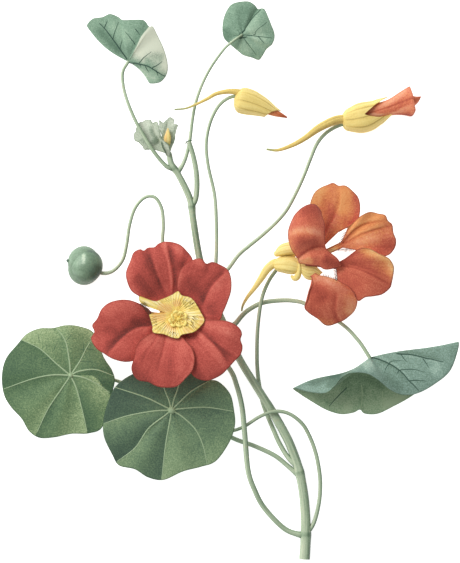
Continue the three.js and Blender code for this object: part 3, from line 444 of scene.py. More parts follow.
class Finish:
    """One Principled material and short names for the nodes that feed it."""

    def __init__(self, name, roughness, specular=0.2):
        self.material = bpy.data.materials.new(name)
        self.material.use_nodes = True
        self.tree = self.material.node_tree
        self.shader = self.tree.nodes["Principled BSDF"]
        self.shader.inputs["Roughness"].default_value = roughness
        self.shader.inputs["Specular IOR Level"].default_value = specular
        self.place = None

    def node(self, kind, inputs, **settings):
        node = self.tree.nodes.new(kind)
        for setting, value in settings.items():
            setattr(node, setting, value)
        for socket, value in inputs:
            if isinstance(value, bpy.types.NodeSocket):
                self.tree.links.new(value, node.inputs[socket])
            else:
                node.inputs[socket].default_value = value
        return node

    def mark(self, name):
        return self.node("ShaderNodeAttribute", [], attribute_name=name).outputs["Fac"]

    def math(self, operation, *values):
        return self.node("ShaderNodeMath", enumerate(values), operation=operation).outputs[0]

    def add(self, *values):
        total = values[0]
        for value in values[1:]:
            total = self.math("ADD", total, value)
        return total

    def scaled(self, value, factor, shift=0.0):
        return self.math("MULTIPLY_ADD", value, factor, shift)

    def swing(self, value, reach):
        """A value from 0 to 1 as one from -reach to reach."""
        return self.scaled(value, 2 * reach, -reach)

    def between(self, value, low, high, start=0.0, end=1.0):
        """start where value is low, end where it is high, and smooth between them."""
        inputs = [("Value", value), ("From Min", low), ("From Max", high), ("To Min", start),
                  ("To Max", end)]
        node = self.node("ShaderNodeMapRange", inputs, interpolation_type="SMOOTHSTEP")
        return node.outputs["Result"]

    def vector(self, x, y, z):
        return self.node("ShaderNodeCombineXYZ", enumerate((x, y, z))).outputs[0]

    def noise(self, size, vector=None, detail=2.0):
        """Noise round 0.5, in spots of that size in millimetres, or in a vector's own units."""
        if vector is None:
            if self.place is None:
                self.place = self.node("ShaderNodeTexCoord", []).outputs["Object"]
            vector, size = self.place, size / 1000
        inputs = [("Vector", vector), ("Scale", 1 / size), ("Detail", detail)]
        return self.node("ShaderNodeTexNoise", inputs).outputs["Fac"]

    def ramp(self, value, stops):
        """The colour between stops (value from -1 to 1, colour)."""
        node = self.node("ShaderNodeValToRGB", [(0, self.scaled(value, 0.5, 0.5))])
        elements = node.color_ramp.elements
        while len(elements) < len(stops):
            elements.new(0.5)
        for element, (at, colour) in zip(elements, stops):
            element.position = (at + 1) / 2
            element.color = colour
        return node.outputs[0]

    def mix(self, share, first, second):
        inputs = [(0, share), (6, first), (7, second)]
        return self.node("ShaderNodeMix", inputs, data_type="RGBA").outputs[2]

    def edged(self, colour, line, near, far, strength):
        """The colour, leaning to that of a line where the rim is near."""
        return self.mix(self.between(self.mark("rim"), near, far, strength, 0.0), colour, line)

    def done(self, colour, relief=None, height=0.1):
        """Connects the colour, and a relief that is height millimetres deep."""
        self.tree.links.new(colour, self.shader.inputs["Base Color"])
        if relief is not None:
            inputs = [("Height", relief), ("Strength", 1.0), ("Distance", height / 1000)]
            normal = self.node("ShaderNodeBump", inputs).outputs[0]
            self.tree.links.new(normal, self.shader.inputs["Normal"])
        return self.material


print("pure white ink:", ink(255, 255, 255))

# %% [markdown]
# ## Stalk tissue
#
# A nasturtium's stalk is smooth, watery and pale green, with long light streaks and now and
# then a pinkish speck. One finish serves all the stalks. It reads how far each point faces the
# light side, and paints that side lighter and the flanks darker, as painted light and shade.


# %% The finishes of stalks and cut ends
def stalk_finish():
    green = Finish("stalk_green", 0.5, 0.35)
    turning = [green.scaled(green.mark(mark), 2.2) for mark in ("turn_x", "turn_y")]
    streaks = green.noise(1.0, green.vector(*turning, green.scaled(green.mark("length"), 0.07)))
    fine = green.noise(0.5)
    flank = green.math("SUBTRACT", 1.0, green.math("ABSOLUTE", green.mark("turn_x")))
    # Painted light and shade: the lit mark makes the side towards the lamp lighter, and the flanks
    # are made darker. The joint mark darkens the joints, and on the main stem it also carries the
    # painted shadow of the flower.
    tone = green.add(
        green.scaled(green.mark("lit"), 0.9, -0.1),
        green.scaled(green.math("POWER", flank, 3.0), -0.85),
        green.swing(streaks, 0.75),
        green.swing(fine, 0.25),
        green.scaled(green.mark("joint"), -0.5),
    )
    stops = tones("-1 66 84 66, -0.4 100 124 98, 0.1 148 170 140, 0.55 184 200 170, 1 212 220 192")
    colour = green.ramp(tone, stops)
    blush = green.between(green.noise(2.2), 0.6, 0.72, 0.0, 0.2)
    colour = green.mix(blush, colour, ink(196, 178, 142))
    return green.done(colour, streaks, 0.06)


def plain_finish(name, colour, roughness):
    """One colour with darker spots."""
    finish = Finish(name, roughness)
    spotted = finish.between(finish.noise(0.7), 0.3, 0.7, 0.0, 0.24)
    darker = tuple(channel * 0.45 for channel in colour[:3]) + (1.0,)
    return finish.done(finish.mix(spotted, colour, darker))


STALK_GREEN = stalk_finish()
CUT_RIM = plain_finish("cut_rim", ink(84, 112, 84), 0.45)
CUT_PITH = plain_finish("cut_pith", ink(196, 208, 168), 0.5)
STALK_FINISHES = [STALK_GREEN, CUT_RIM, CUT_PITH]
print("stalk finishes:", len(STALK_FINISHES))

# %% [markdown]
# ## The main stem and the cut side shoot
#
# The stem is the thick stalk that carries everything. It swells a little at each joint, where a
# stalk leaves it, and both its lower end and the side shoot's end are flat cuts. A lofted tube
# gives that in one go: the joints are small bumps of its radius.

# %% Stem and side shoot
STEM_ROUTE = path("""
    29.7 -111.76 1.9, 30.2 -101 2.3, 29.6 -88 2.9, 27.6 -76.6 3.7, 24.3 -66.8 4.5, 20.9 -59.8 5,
    16.2 -51.6 5.5, 12.5 -45.8 5.9, 3.8 -31.8 6.6, -1.5 -20 7.2, -8.6 -4 8, -12.4 9 8.4,
    -14.9 24.2 8.9, -16.2 32.6 9.4, -20.9 42.4 10.3, -23.6 46.4 10.8, -24.6 50.6 11""")
STEM_RADII = (2.15, 1.9, 1.8, 1.75, 1.5, 1.45, 1.45, 1.35, 1.3, 1.1)
JOINTS = path("30.1 -101.8, 27.6 -77, -1.5 -20, -9.2 -2.4, -15.5 29.4, -22.8 44.9")
FLOOR = 0.0


def share_near(line, plan):
    """The share of a line's length that is nearest to a place in plan."""
    shares = np.linspace(0, 1, 600)
    return shares[np.linalg.norm(line.run(shares)[:, :2] - plan, axis=1).argmin()]


def kept_above_floor(form):
    form.points[:, 2] = np.maximum(form.points[:, 2], FLOOR)
    return form


stem_line = Line(STEM_ROUTE)
joint_shares = [share_near(stem_line, joint) for joint in JOINTS]


def stem_radius(share, angle):
    swelling = sum(0.22 * bump(share, joint, 0.010) for joint in joint_shares)
    return along(STEM_RADII, share) + swelling + 0.05 * np.cos(5 * angle)


stem = kept_above_floor(tube(stem_line, stem_radius, 40, 0.8, ("cut", "round")))
ring_marks = [bump(stem.marks["share"], joint, 0.004) for joint in joint_shares]
# Painted shadow: the stem is made darker where the flower shades it. It goes into the joint
# mark together with the darker joints.
painted_flower_shadow = bump(stem.points[:, 1], 17.0, 9.0)
stem.marks["joint"] = np.sum(ring_marks, axis=0) + 0.8 * painted_flower_shadow
show("main_stem_tissue", [stem], STALK_FINISHES, "main_stem")

SHOOT_ROUTE = path("""
    -15.5 29.4 9, -13.9 32.9 9.8, -13.4 38.6 10.6, -13.8 44.2 11.6, -15 50.2 12.3,
    -16.6 55.3 12.8""")
shoot = tube(SHOOT_ROUTE, lambda u, a: 1.1 - 0.18 * u, 24, 0.8, ("round", "cut"))
shoot.marks["joint"] = bump(shoot.marks["share"], 0.05, 0.04)
collar = tube(path("-17.9 54.9 12.4, -17.3 55.6 13.6, -15.6 56 13.2"),
              lambda u, a: 0.22 + 0 * u, 8, 0.4, kinds=(1, 1, 1))
show("side_shoot_tissue", [shoot, collar], STALK_FINISHES, "side_shoot")

# %% [markdown]
# ## Stalks
#
# Ten long stalks loop over and under each other, from the stem to a leaf, a flower, a bud or
# the fruit. Each is thickest at the stem. The plain solids stop just short of what they meet,
# but living tissue is continuous, so these run on into the stem and the organ.

# %% Ten stalks
STALKS = {
    "leaf_stalk_centre": ((0.85, 0.8, 0.68, 0.6), path("""
    30.1 -101.6 2.3, 33.1 -97.8 2.4, 35 -91.6 2.5, 35.9 -85 2.8, 35.8 -78 3.3, 34.2 -69.3 4.4,
    31.5 -62 5.8, 28.4 -57 6.9, 23.2 -53.2 7.9, 17.4 -52.4 8.4, 11.5 -54.6 8, 5 -58.7 7.2,
    -1 -60.3 7.2, -10.2 -59 8.1, -19 -54.6 9.6, -23.6 -51.8 11.2""")),
    "leaf_stalk_left": ((0.95, 0.85, 0.7, 0.62), path("""
    27.6 -78.2 3.4, 23.4 -74.7 3.3, 17.8 -70.2 3.5, 9.8 -66.4 4.2, 0.2 -62.8 4.6,
    -16.2 -53.8 5, -32.2 -45.4 5.2, -47 -39.8 5.2, -59 -38.2 5.8, -64 -38 7.6""")),
    "leaf_stalk_right": ((1.0, 0.9, 0.74, 0.75), path("""
    -1.5 -20 7.2, 2.1 -17.1 7.6, 4.4 -14.3 7.8, 7.2 -11.8 7.8, 12.6 -9 7.8, 19.8 -8 7.8,
    25.8 -8.2 8, 31 -9.8 8.2, 44 -17 9, 51 -23.8 10.2, 55.7 -30.8 10.9""")),
    "leaf_stalk_upper_left": ((0.8, 0.72, 0.66, 0.62), path("""
    -22.6 44.6 10.6, -26 46 11.6, -30.9 51.8 12.9, -34.8 58 13.3, -38.4 64.7 13.2,
    -41.3 71.8 13, -42.9 77.9 12.6, -43.1 83.4 12.4, -40.9 87.5 12.6""")),
    "leaf_stalk_upper_right": ((0.75, 0.65, 0.55, 0.5), path("""
    -21.2 43 10.3, -18.7 47.2 9.7, -17.1 52.1 9.5, -16.1 57.4 9.8, -15.2 64.7 10.5,
    -13.8 71.6 11.2, -11.3 78.6 12, -7.8 85.3 13.2, -3 92 15, 0 94.9 15.9, 2.6 96.8 15.6,
    4.6 98.2 13.9""")),
    "flower_stalk_red": ((1.05, 1.05, 1.0, 0.9), path("""
    29.6 -102.4 2.3, 21.8 -99.6 3, 13.6 -91.2 4.8, 9.6 -83.8 6.8, 7 -75.8 8.4, 5.7 -61.4 9.8,
    4.6 -50.6 10.3, 2.4 -41.8 11, -0.5 -35.2 11.5, -10.2 -23 12, -20 -16 12.6,
    -23.5 -13.5 15.2""")),
    "flower_stalk_orange": ((1.0, 0.85, 0.75, 0.75), path("""
    26.9 -74.4 4.1, 23.2 -71 3.7, 19.8 -65.6 2.9, 17.2 -59.8 2.6, 14.2 -52.6 2.5,
    12.7 -48 2.7, 11.7 -42.8 3.2, 11 -38 4.2, 10.6 -31 6, 10.9 -19 9.4, 12.4 -7.8 10.8,
    15 -0.8 12, 18 3.8 13.6, 20.4 6.8 15.8""")),
    "bud_stalk_right": ((0.8, 0.75, 0.7, 0.8), path("""
    -8.6 -4 8, -1.1 4.5 8.6, 3.2 10.2 9, 7.5 13.9 9.2, 12.9 18.3 9.3, 18.4 23.4 9.2,
    22.6 28.4 8.9, 26.4 35.4 8.4, 29.4 42 7.8, 31.8 48.2 7.1, 34.4 54.4 6.4, 37.8 58.7 5.9,
    42 61.5 5.7, 46 63 5.8""")),
    "bud_stalk_left": ((0.75, 0.68, 0.64, 0.7), path("""
    -9.4 -2 8.1, -6.7 2.4 8.6, -5.8 8 9, -5.6 20.2 9.4, -6.3 33.6 9.8, -8.9 45.8 10.3,
    -9.7 54 10.7, -8.9 60.4 11, -7.1 65.8 11.4, -4.3 70.4 11.9, -0.6 73.1 12.3,
    3.4 74 12.4""")),
    "fruit_stalk": ((0.75, 0.7, 0.68, 0.75), path("""
    -9.8 -1.4 8, -16.2 -1.4 8, -23.4 2.6 8.2, -26.4 9 8.5, -27.2 15.8 8.8, -26.9 22.4 9,
    -27.6 28.9 9, -30.3 33.3 8.9, -34.4 33.2 8.6, -38.2 29 8.1, -40.4 22.2 7.7,
    -41.6 14.3 7.3, -43.2 8.2 7, -47 3.9 6.7, -51.2 2.9 6.4, -56 4.6 6""")),
}
for name, (radii, route) in STALKS.items():
    line = Line(route)
    flare = 3.0 / line.length
    flared = lambda u: along(radii, u) * (1 + 0.35 * bump(u, 0, flare))
    stalk = tube(line, lambda u, a: flared(u) + 0.02 * np.cos(3 * a), 20)
    stalk.marks["joint"] = 0.8 * bump(stalk.marks["share"], 0.8 / line.length, 1.2 / line.length)
    show(f"{name}_tissue", [stalk], STALK_FINISHES, name)

# %% [markdown]
# ## Leaf tissue
#
# A nasturtium's leaf is a shield: its stalk joins the middle and nine veins run out from there.
# The upper side is blue green and matt. The tissue on one side of a vein is painted lighter than
# on the other, as light and shade on the bulge between the veins. The underside is paler and
# greyer.


# %% The finishes of leaves
def leaf_finish(name, stops, patches, dots, pale=None):
    """A leaf's face. The tone mark picks the colour, broken by patches and fine dots."""
    leaf = Finish(name, 0.62, 0.25)
    fine = leaf.noise(0.5)
    tone = leaf.add(
        leaf.mark("tone"), leaf.swing(leaf.noise(5.0), patches / 2), leaf.swing(fine, dots)
    )
    colour = leaf.ramp(tone, stops)
    if pale:
        dusted = leaf.add(leaf.mark("pale"), leaf.scaled(tone, 0.35, -0.1))
        colour = leaf.mix(leaf.between(dusted, 0.0, 0.9), colour, pale)
    return leaf.done(leaf.edged(colour, ink(70, 92, 66), 0.12, 0.45, 0.35), fine, 0.08)


LEFT_TOP = leaf_finish("leaf_left_upper_side", tones("""
    -1 58 86 66, -0.35 84 112 80, 0.15 112 138 98, 0.6 150 172 126, 1 178 196 152"""), 0.5, 0.95)
CENTRE_TOP = leaf_finish("leaf_centre_upper_side", tones("""
    -1 62 84 70, -0.35 84 108 86, 0.15 108 134 102, 0.6 136 160 120, 1 158 180 140"""), 0.5, 0.95)
UNDERSIDE = leaf_finish("leaf_underside", tones("""
    -1 78 106 92, -0.35 104 130 114, 0.15 130 158 144, 0.6 156 184 168, 1 182 204 190"""), 0.4, 0.9)
VEIN_PALE = plain_finish("vein_pale", ink(168, 190, 152), 0.5)
VEIN_DARK = plain_finish("vein_dark", ink(66, 98, 78), 0.6)
print("leaf finishes:", LEFT_TOP.name, CENTRE_TOP.name, UNDERSIDE.name)

# %% [markdown]
# ## The shield shape
#
# Every leaf starts as spokes from the top of its stalk to its margin. The flat leaves bulge
# between their veins. Ribs are tapered tubes, half sunk in the leaf along lines drawn in plan.


# %% Shields, sectors and ribs
LEAF_ROWS = 40


def leaf_thickness(s):
    return 0.5 - 0.25 * s**4


def shield(centre, margin, arch, puff=0.0, veins=None):
    """The middle surface of a leaf, swollen by the puff between the veins, given as shares t."""
    edge = Line(margin, closed=True)
    hub = np.array(centre)

    def place(s, t):
        points = hub + (edge.at(t) - hub) * s[..., None]
        between = np.sin(np.pi * sector(t, veins)[1]) ** 2 if veins is not None else 0
        points[..., 2] += 4 * s * (1 - s) * arch(t) + puff * between * np.sin(0.8 * np.pi * s)
        return points

    return place


def sector(t, veins):
    """Which sector t lies in, counted from the first vein, and how far across it."""
    ordered = np.array(veins)
    wrapped = (t - ordered[0]) % 1.0
    starts = (ordered - ordered[0]) % 1.0
    number = np.searchsorted(starts, wrapped, side="right") - 1
    ends = np.append(starts[1:], 1.0)
    return number, (wrapped - starts[number]) / (ends[number] - starts[number])


def spoke_at(centre, margin, plan):
    """The s and t of plan points on a flat leaf."""
    t = np.linspace(0, 1, 1441)
    edge = Line(margin, closed=True).at(t)[:, :2] - np.array(centre)[:2]
    headings = np.unwrap(np.arctan2(edge[:, 1], edge[:, 0]))
    offset = np.asarray(plan, float) - np.array(centre)[:2]
    wanted = np.arctan2(offset[..., 1], offset[..., 0])
    wanted = headings[0] + (wanted - headings[0]) % (2 * np.pi)
    share = np.interp(wanted, headings, t)
    reach = np.interp(share, t, np.linalg.norm(edge, axis=1))
    return np.clip(np.linalg.norm(offset, axis=-1) / reach, 0, 1), share


NEARBY, RIB_RISE_MM = 1e-3, 0.14


def rib(place, s, t, width, kind, side):
    """A tapered rib that lies half sunk in a surface, along arrays of s and t."""
    outward = place(np.clip(s + NEARBY, 0, 1), t) - place(np.clip(s - NEARBY, 0, 1), t)
    around = place(s, (t + NEARBY) % 1.0) - place(s, (t - NEARBY) % 1.0)
    normals = unit(np.cross(outward, around)) * side
    route = place(s, t) + normals * RIB_RISE_MM
    return tube(route, ribbed(width), 6, 0.7, kinds=(kind, kind, kind))


def drawn_rib(centre, margin, place, plan, width, kind, side=1):
    """A rib along a smooth line drawn in plan on a flat leaf."""
    line = Line(plan).run(np.linspace(0.02, 0.995, 16))
    s, t = spoke_at(centre, margin, line)
    return rib(place, np.maximum(s, 0.02), t, width, kind, side)


SQUARE = path("1 0 0, 0 1 0, -1 0 0, 0 -1 0")
print("a spoke of a unit square leaf:", spoke_at((0, 0, 0), SQUARE, (0.5, 0.0)))

# %% [markdown]
# ## The two flat leaves
#
# The left and the centre leaf show their upper side. Each vein is drawn in plan, with the tone
# of the tissue just after it and just before the next one, going anticlockwise, and the tone
# that the sector has at the margin. These tones are painted light and shade of the bulges
# between the veins. Modelling this contrast by height alone is too weak, so the painted tone
# carries most of it and the bulge the rest.

# %% Margins and veins of the flat leaves
LEFT_CENTRE = (-64.0, -38.0, 8.4)
LEFT_MARGIN = path("""
    -46.4 -41 8.9, -47.4 -36 9.1, -50.8 -30.6 8.2, -54.6 -21.2 7.4, -60.4 -18.4 7.2,
    -66 -17.9 7.8, -71 -19 6.8, -76.4 -19.2 6.2, -81.6 -21.4 6.6, -85.4 -25.6 5.6, -90 -31.4 5,
    -91.6 -38.4 5.4, -90.8 -45.6 4.6, -88 -50.6 5, -83.6 -55.4 5.8, -80.8 -60.2 5.2,
    -76.6 -63 5.4, -70.6 -62.8 6.4, -63.8 -61.4 6, -56.8 -61.2 6.8, -51.4 -58.8 7.8,
    -49.2 -50 8.6""")
# Each vein: the painted tone after it, before the next one and at the margin, then its line.
LEFT_VEINS = labelled("""
    -0.5 0.1 0: -60.3 -36.3, -53.9 -35.7, -46.9 -38.1;
    -0.1 0.1 0.6: -60.3 -32.4, -57.8 -27.3, -55.3 -23.2;
    -0.1 0.2 0.6: -64.5 -31.7, -66.1 -24.1, -69.9 -18.7;
    -0.25 -0.4 -0.1: -69.9 -33, -76.3 -27.3, -83.6 -23.8;
    -0.35 0.4 0: -71.2 -37.8, -79.4 -39.4, -90.9 -43.5;
    -0.55 0.5 0.2: -68 -43.9, -73.1 -51.5, -77.5 -60.8;
    -0.6 0.6 0.1: -61.6 -43.2, -59.4 -51.5, -57.4 -60.4;
    -0.5 -0.3 -0.1: -59 -38.8, -53.9 -41, -48.3 -45""")
LEFT_VEINLETS = paths("""
    -76.5 -24.2, -77.2 -21.6; -73.7 -27.3, -74 -23.9; -70.8 -28, -69.2 -24.4;
    -65.9 -24.4, -63.6 -21.6; -58.8 -28.6, -58.9 -24.9; -57.8 -27.3, -54.4 -27.9;
    -60.4 -32.4, -55.4 -32.6; -72.6 -30.8, -75.2 -31.4""")
CENTRE_CENTRE = (-23.6, -51.8, 12.0)
CENTRE_MARGIN = path("""
    1.4 -51.6 12.6, -0.2 -45.2 13.6, -4.8 -40.4 14.4, -9.6 -39.4 13.6, -15.6 -36 14.2,
    -23.8 -34.4 14.4, -32 -35.2 13.4, -40 -37.8 12.8, -46 -42.4 13.2, -48.6 -47.6 12.4,
    -50.8 -55.2 11.9, -50.6 -62.4 11.2, -47.4 -69.6 10.2, -44.6 -74 9.6, -38.2 -75.6 10,
    -33 -78.8 9, -26.8 -79.8 8.6, -19 -76.4 9.2, -12 -74.6 8.6, -5.8 -72.2 9.2, -0.4 -64.6 10.6,
    1.8 -57.8 11.6""")
CENTRE_VEINS = labelled("""
    -0.1 -0.1 0.3: -18.9 -51.1, -9.3 -50.7, 1.1 -52.3;
    -0.4 -0.4 -0.2: -20.1 -48.3, -15.7 -44.2, -8.9 -40.3;
    -0.4 -0.4 -0.4: -22.7 -47.7, -21.1 -43.2, -19.3 -35.8;
    -0.5 -0.4 -0.3: -24.6 -47.7, -26.2 -43.9, -28.8 -35.6;
    -0.5 -0.4 -0.3: -27.8 -49.6, -34.8 -46.4, -46.6 -42.6;
    0.5 -0.7 -0.2: -31 -52.2, -41.2 -54.1, -50.5 -57.2;
    0.4 -0.5 0.1: -26.5 -54.1, -32.9 -59.2, -38 -66.8, -45.3 -72.4;
    0.5 0 0.3: -24.3 -56.6, -25.9 -65.5, -27.5 -79.3;
    0.1 -0.5 0.6: -18.9 -54.7, -13.8 -59.8, -10.9 -66.2, -9.3 -73.8""")
print("veins:", len(LEFT_VEINS), "on the left leaf,", len(CENTRE_VEINS), "on the centre leaf")


# %% Left and centre leaf
def flat_leaf(name, node, centre, margin, veins, veinlets, top_finish, top_radius):
    """A leaf with its upper side up: the blade and the ribs on both of its faces."""
    lines = [np.vstack([centre[:2], line]) for _, line in veins]
    ends = [spoke_at(centre, margin, line[-1])[1] for line in lines]
    order = np.argsort(ends)
    ends = [float(ends[i]) for i in order]
    vein_tones = np.array([veins[i][0] for i in order])
    outline = Line(margin, closed=True).at(np.linspace(0, 1, 240, endpoint=False))[:, :2]
    curved = [Line(lines[i]).at(np.linspace(0, 1, 20)) for i in order]
    tracks = [spoke_at(centre, margin, line) for line in curved]

    def vein_shares(s):
        """Where each curved vein crosses the ring s, relative to where it ends."""
        shares = []
        for end, (reach, t) in zip(ends, tracks):
            drift = (t - end + 0.5) % 1.0 - 0.5
            shares.append(np.interp(s, reach, drift))
        return shares

    def marks(s, t, points):
        ring = s[:, 0]
        drifts = np.array(vein_shares(ring))
        bent = np.empty_like(t)
        for row in range(len(ring)):
            bent[row] = t[row] - np.interp(t[row], ends, drifts[:, row], period=1.0)
        number, across = sector(bent % 1.0, ends)
        after, before, at_margin = (vein_tones[number][..., i] for i in range(3))
        # Painted light and shade: each sector is lighter on one side and darker on the other.
        tone = (after + (before - after) * across) * np.clip(1.6 * s, 0.25, 1)
        tone += at_margin * s**3 - 0.25 * bump(s, 0.0, 0.12)
        return {"tone": tone, "rim": rim_distance(points[..., :2], outline)}

    place = shield(centre, margin, lambda t: 0.45, 0.5, ends)
    blade = sheet(
        place, LEAF_ROWS, 220, leaf_thickness, marks, closed=True,
        lift=lambda values: 0.12 * values["tone"],
    )
    ribs = [
        drawn_rib(centre, margin, place, line, (0.42, 0.34, 0.26, 0.16), 2, side)
        for line in lines for side in (1, -1)
    ]
    fine = [drawn_rib(centre, margin, place, line, (0.16, 0.12), 3) for line in veinlets]
    stalk_top = tube([np.add(centre, (0, 0, -0.2)), np.add(centre, (0, 0, 0.42))],
                     lambda u, a: top_radius - 0.3 * u, 20, 0.2, kinds=(2, 2, 2))
    show(name, [blade, *ribs, *fine, stalk_top], [top_finish, UNDERSIDE, VEIN_PALE, VEIN_DARK],
         node)


flat_leaf("left_leaf", "leaf_left", LEFT_CENTRE, LEFT_MARGIN, LEFT_VEINS, LEFT_VEINLETS,
          LEFT_TOP, 1.2)
flat_leaf("centre_leaf", "leaf_centre", CENTRE_CENTRE, CENTRE_MARGIN, CENTRE_VEINS, [],
          CENTRE_TOP, 1.8)

# %% [markdown]
# ## Petal tissue
#
# A petal is velvety: tiny cones on its skin scatter the light, so it has no hard highlight. Its
# red comes in fine dots over a lighter ground, with streaks that fan out from the claw. The
# tone mark, which also carries the painted shade and highlights of the folds, picks the depth
# of the colour, and the warm mark leans it from red to orange.


# %% The finishes of petals
def petal_finish(name, reds, warms=None):
    """A petal's face. reds and warms are the tone's stops without and with full warmth."""
    petal = Finish(name, 0.7, 0.12)
    fan = petal.vector(
        petal.scaled(petal.mark("across"), 38.0), petal.scaled(petal.mark("along"), 1.6),
        petal.scaled(petal.mark("seed"), 7.0),
    )
    fine = petal.noise(0.5)
    tone = petal.add(
        petal.mark("tone"),
        petal.swing(petal.noise(1.0, fan, 3.0), 0.25),
        petal.swing(fine, 0.7),
        petal.swing(petal.noise(4.0), 0.25),
    )
    colour = petal.ramp(tone, reds)
    if warms:
        warm = petal.add(petal.mark("warm"), petal.swing(petal.noise(1.1), 0.35))
        colour = petal.mix(petal.between(warm, 0.0, 1.0), colour, petal.ramp(tone, warms))
    colour = petal.edged(colour, ink(124, 52, 40), 0.12, 0.5, 0.55)
    petal.shader.inputs["Sheen Weight"].default_value = 0.08
    return petal.done(colour, fine, 0.08)


RED_STOPS = tones("-1 112 54 48, -0.5 152 68 60, 0 186 84 74, 0.45 210 108 94, 1 230 140 122")
RED_BACK_STOPS = tones("""
    -1 138 68 56, -0.5 172 90 74, 0 204 114 92, 0.45 220 140 114, 1 234 172 144""")
ORANGE_BACK_STOPS = tones("""
    -1 142 62 50, -0.5 174 82 65, 0 203 106 81, 0.45 220 134 105, 1 235 167 136""")
ORANGE_RED_STOPS = tones("""
    -1 138 60 50, -0.5 170 78 62, 0 196 98 76, 0.45 218 128 98, 1 236 164 134""")
ORANGE_WARM_STOPS = tones("""
    -1 172 92 54, -0.5 204 118 72, 0 226 146 90, 0.45 236 168 108, 1 244 202 142""")
RED_FACE = petal_finish("red_petal_face", RED_STOPS)
RED_BACK = petal_finish("red_petal_back", RED_BACK_STOPS)
ORANGE_FACE = petal_finish("orange_petal_face", ORANGE_RED_STOPS, ORANGE_WARM_STOPS)
ORANGE_BACK = petal_finish("orange_petal_back", ORANGE_BACK_STOPS, ORANGE_WARM_STOPS)
print("petal finishes:", RED_FACE.name, ORANGE_FACE.name)

# %% [markdown]
# ## The petal shape
#
# A petal spreads like a fan from its narrow claw to its outline. A subdivided plane pushed
# into shape by hand would do for one, but nine petals need the same care, so a function spreads
# the fan. Rungs widen it where straight spokes would cross, and heights follow the distance
# from the claw.

# %% Fans
PETAL_ROWS, PETAL_COLUMNS = 44, 88
RELIEF_MM = 0.5


def fan(claw, outline, heights, rungs=(), sides=(0, 0), creases=(), ruffle=0.4, waves=4):
    """The middle surface of a petal."""
    margin = Line(outline)
    ladder = [(share, np.array(start), np.array(end)) for share, start, end in [(0, *claw), *rungs]]
    root = (ladder[0][1] + ladder[0][2]) / 2
    reach = np.linalg.norm(np.array(outline) - root, axis=1).max()

    def place(s, t):
        steps = [(share, start + (end - start) * t[..., None]) for share, start, end in ladder]
        steps.append((1, margin.run(t)))
        plan = steps[0][1]
        for (low, near), (high, far) in zip(steps, steps[1:]):
            part = np.clip((s - low) / (high - low), 0, 1)[..., None]
            plan = np.where((s >= low)[..., None], near + (far - near) * part, plan)
        share = np.minimum(1, np.linalg.norm(plan - root, axis=-1) / reach)
        height = along(heights, share) + (sides[0] + (sides[1] - sides[0]) * t) * share
        for where, depth, width in creases:
            height = height + depth * bump(t, where, width) * np.sin(np.pi * share) * s
        height = height + ruffle * s**4 * np.sin(2 * np.pi * waves * t + heights[0])
        return np.concatenate([plan, height[..., None]], -1)

    return place


def petal_outline(place):
    """The outline of a petal in plan, for the distance to its rim."""
    share, full = np.linspace(0, 1, 60), np.ones(60)
    sides = [(share * 0, share), (share, full), (full, share[::-1]), (share[::-1], full * 0)]
    return np.vstack([place(s, t)[:, :2] for s, t in sides])


def petal_form(place, strokes, warm_strokes=(), base_tone=0.0, base_warm=0.0, seed=0.0):
    """A petal with painted shade and light: its folds are strokes in plan that also move the
    tissue.
    """
    outline = petal_outline(place)

    def marks(s, t, points):
        plan = points[..., :2]
        return {
            "tone": np.clip(base_tone + brushed(plan, strokes), -1.2, 1.2),
            "warm": base_warm + brushed(plan, warm_strokes),
            "across": t, "along": s, "seed": seed,
            "rim": rim_distance(plan, outline),
        }

    lift = lambda values: RELIEF_MM * np.clip(values["tone"] - base_tone, -1, 1)
    return sheet(place, PETAL_ROWS, PETAL_COLUMNS, lambda s: 0.42 - 0.2 * s**3, marks, lift=lift)


print("fan of a plain petal:", fan(path("0 0, 1 0"), path("2 1, 1 4, -1 1"), [0, 1])(
    np.array([1.0]), np.array([0.5])))

# %% [markdown]
# ## The red flower's petals
#
# Five petals look straight up. The two upper ones are broad and pleated, and the three lower
# ones have a rounder blade. Each stroke below is a fold or a shade: its line in plan, and the
# tone and width on its left and on its right, seen along the line. Dark strokes paint shade in
# the folds and valleys, and light ones paint highlights on the ridges.

# %% Outlines of the red petals
RED_CENTRE = np.array([-23.5, -13.5])
CLAW_RING, CLAW_HALF_WIDTH = 3.0, 1.2


def claw_at(degrees):
    """The two ends of a claw on a ring round the red flower's centre."""
    angle = math.radians(degrees)
    out = np.array([math.cos(angle), math.sin(angle)])
    over = np.array([-math.sin(angle), math.cos(angle)])
    return [RED_CENTRE + CLAW_RING * out + side * CLAW_HALF_WIDTH * over for side in (-1, 1)]


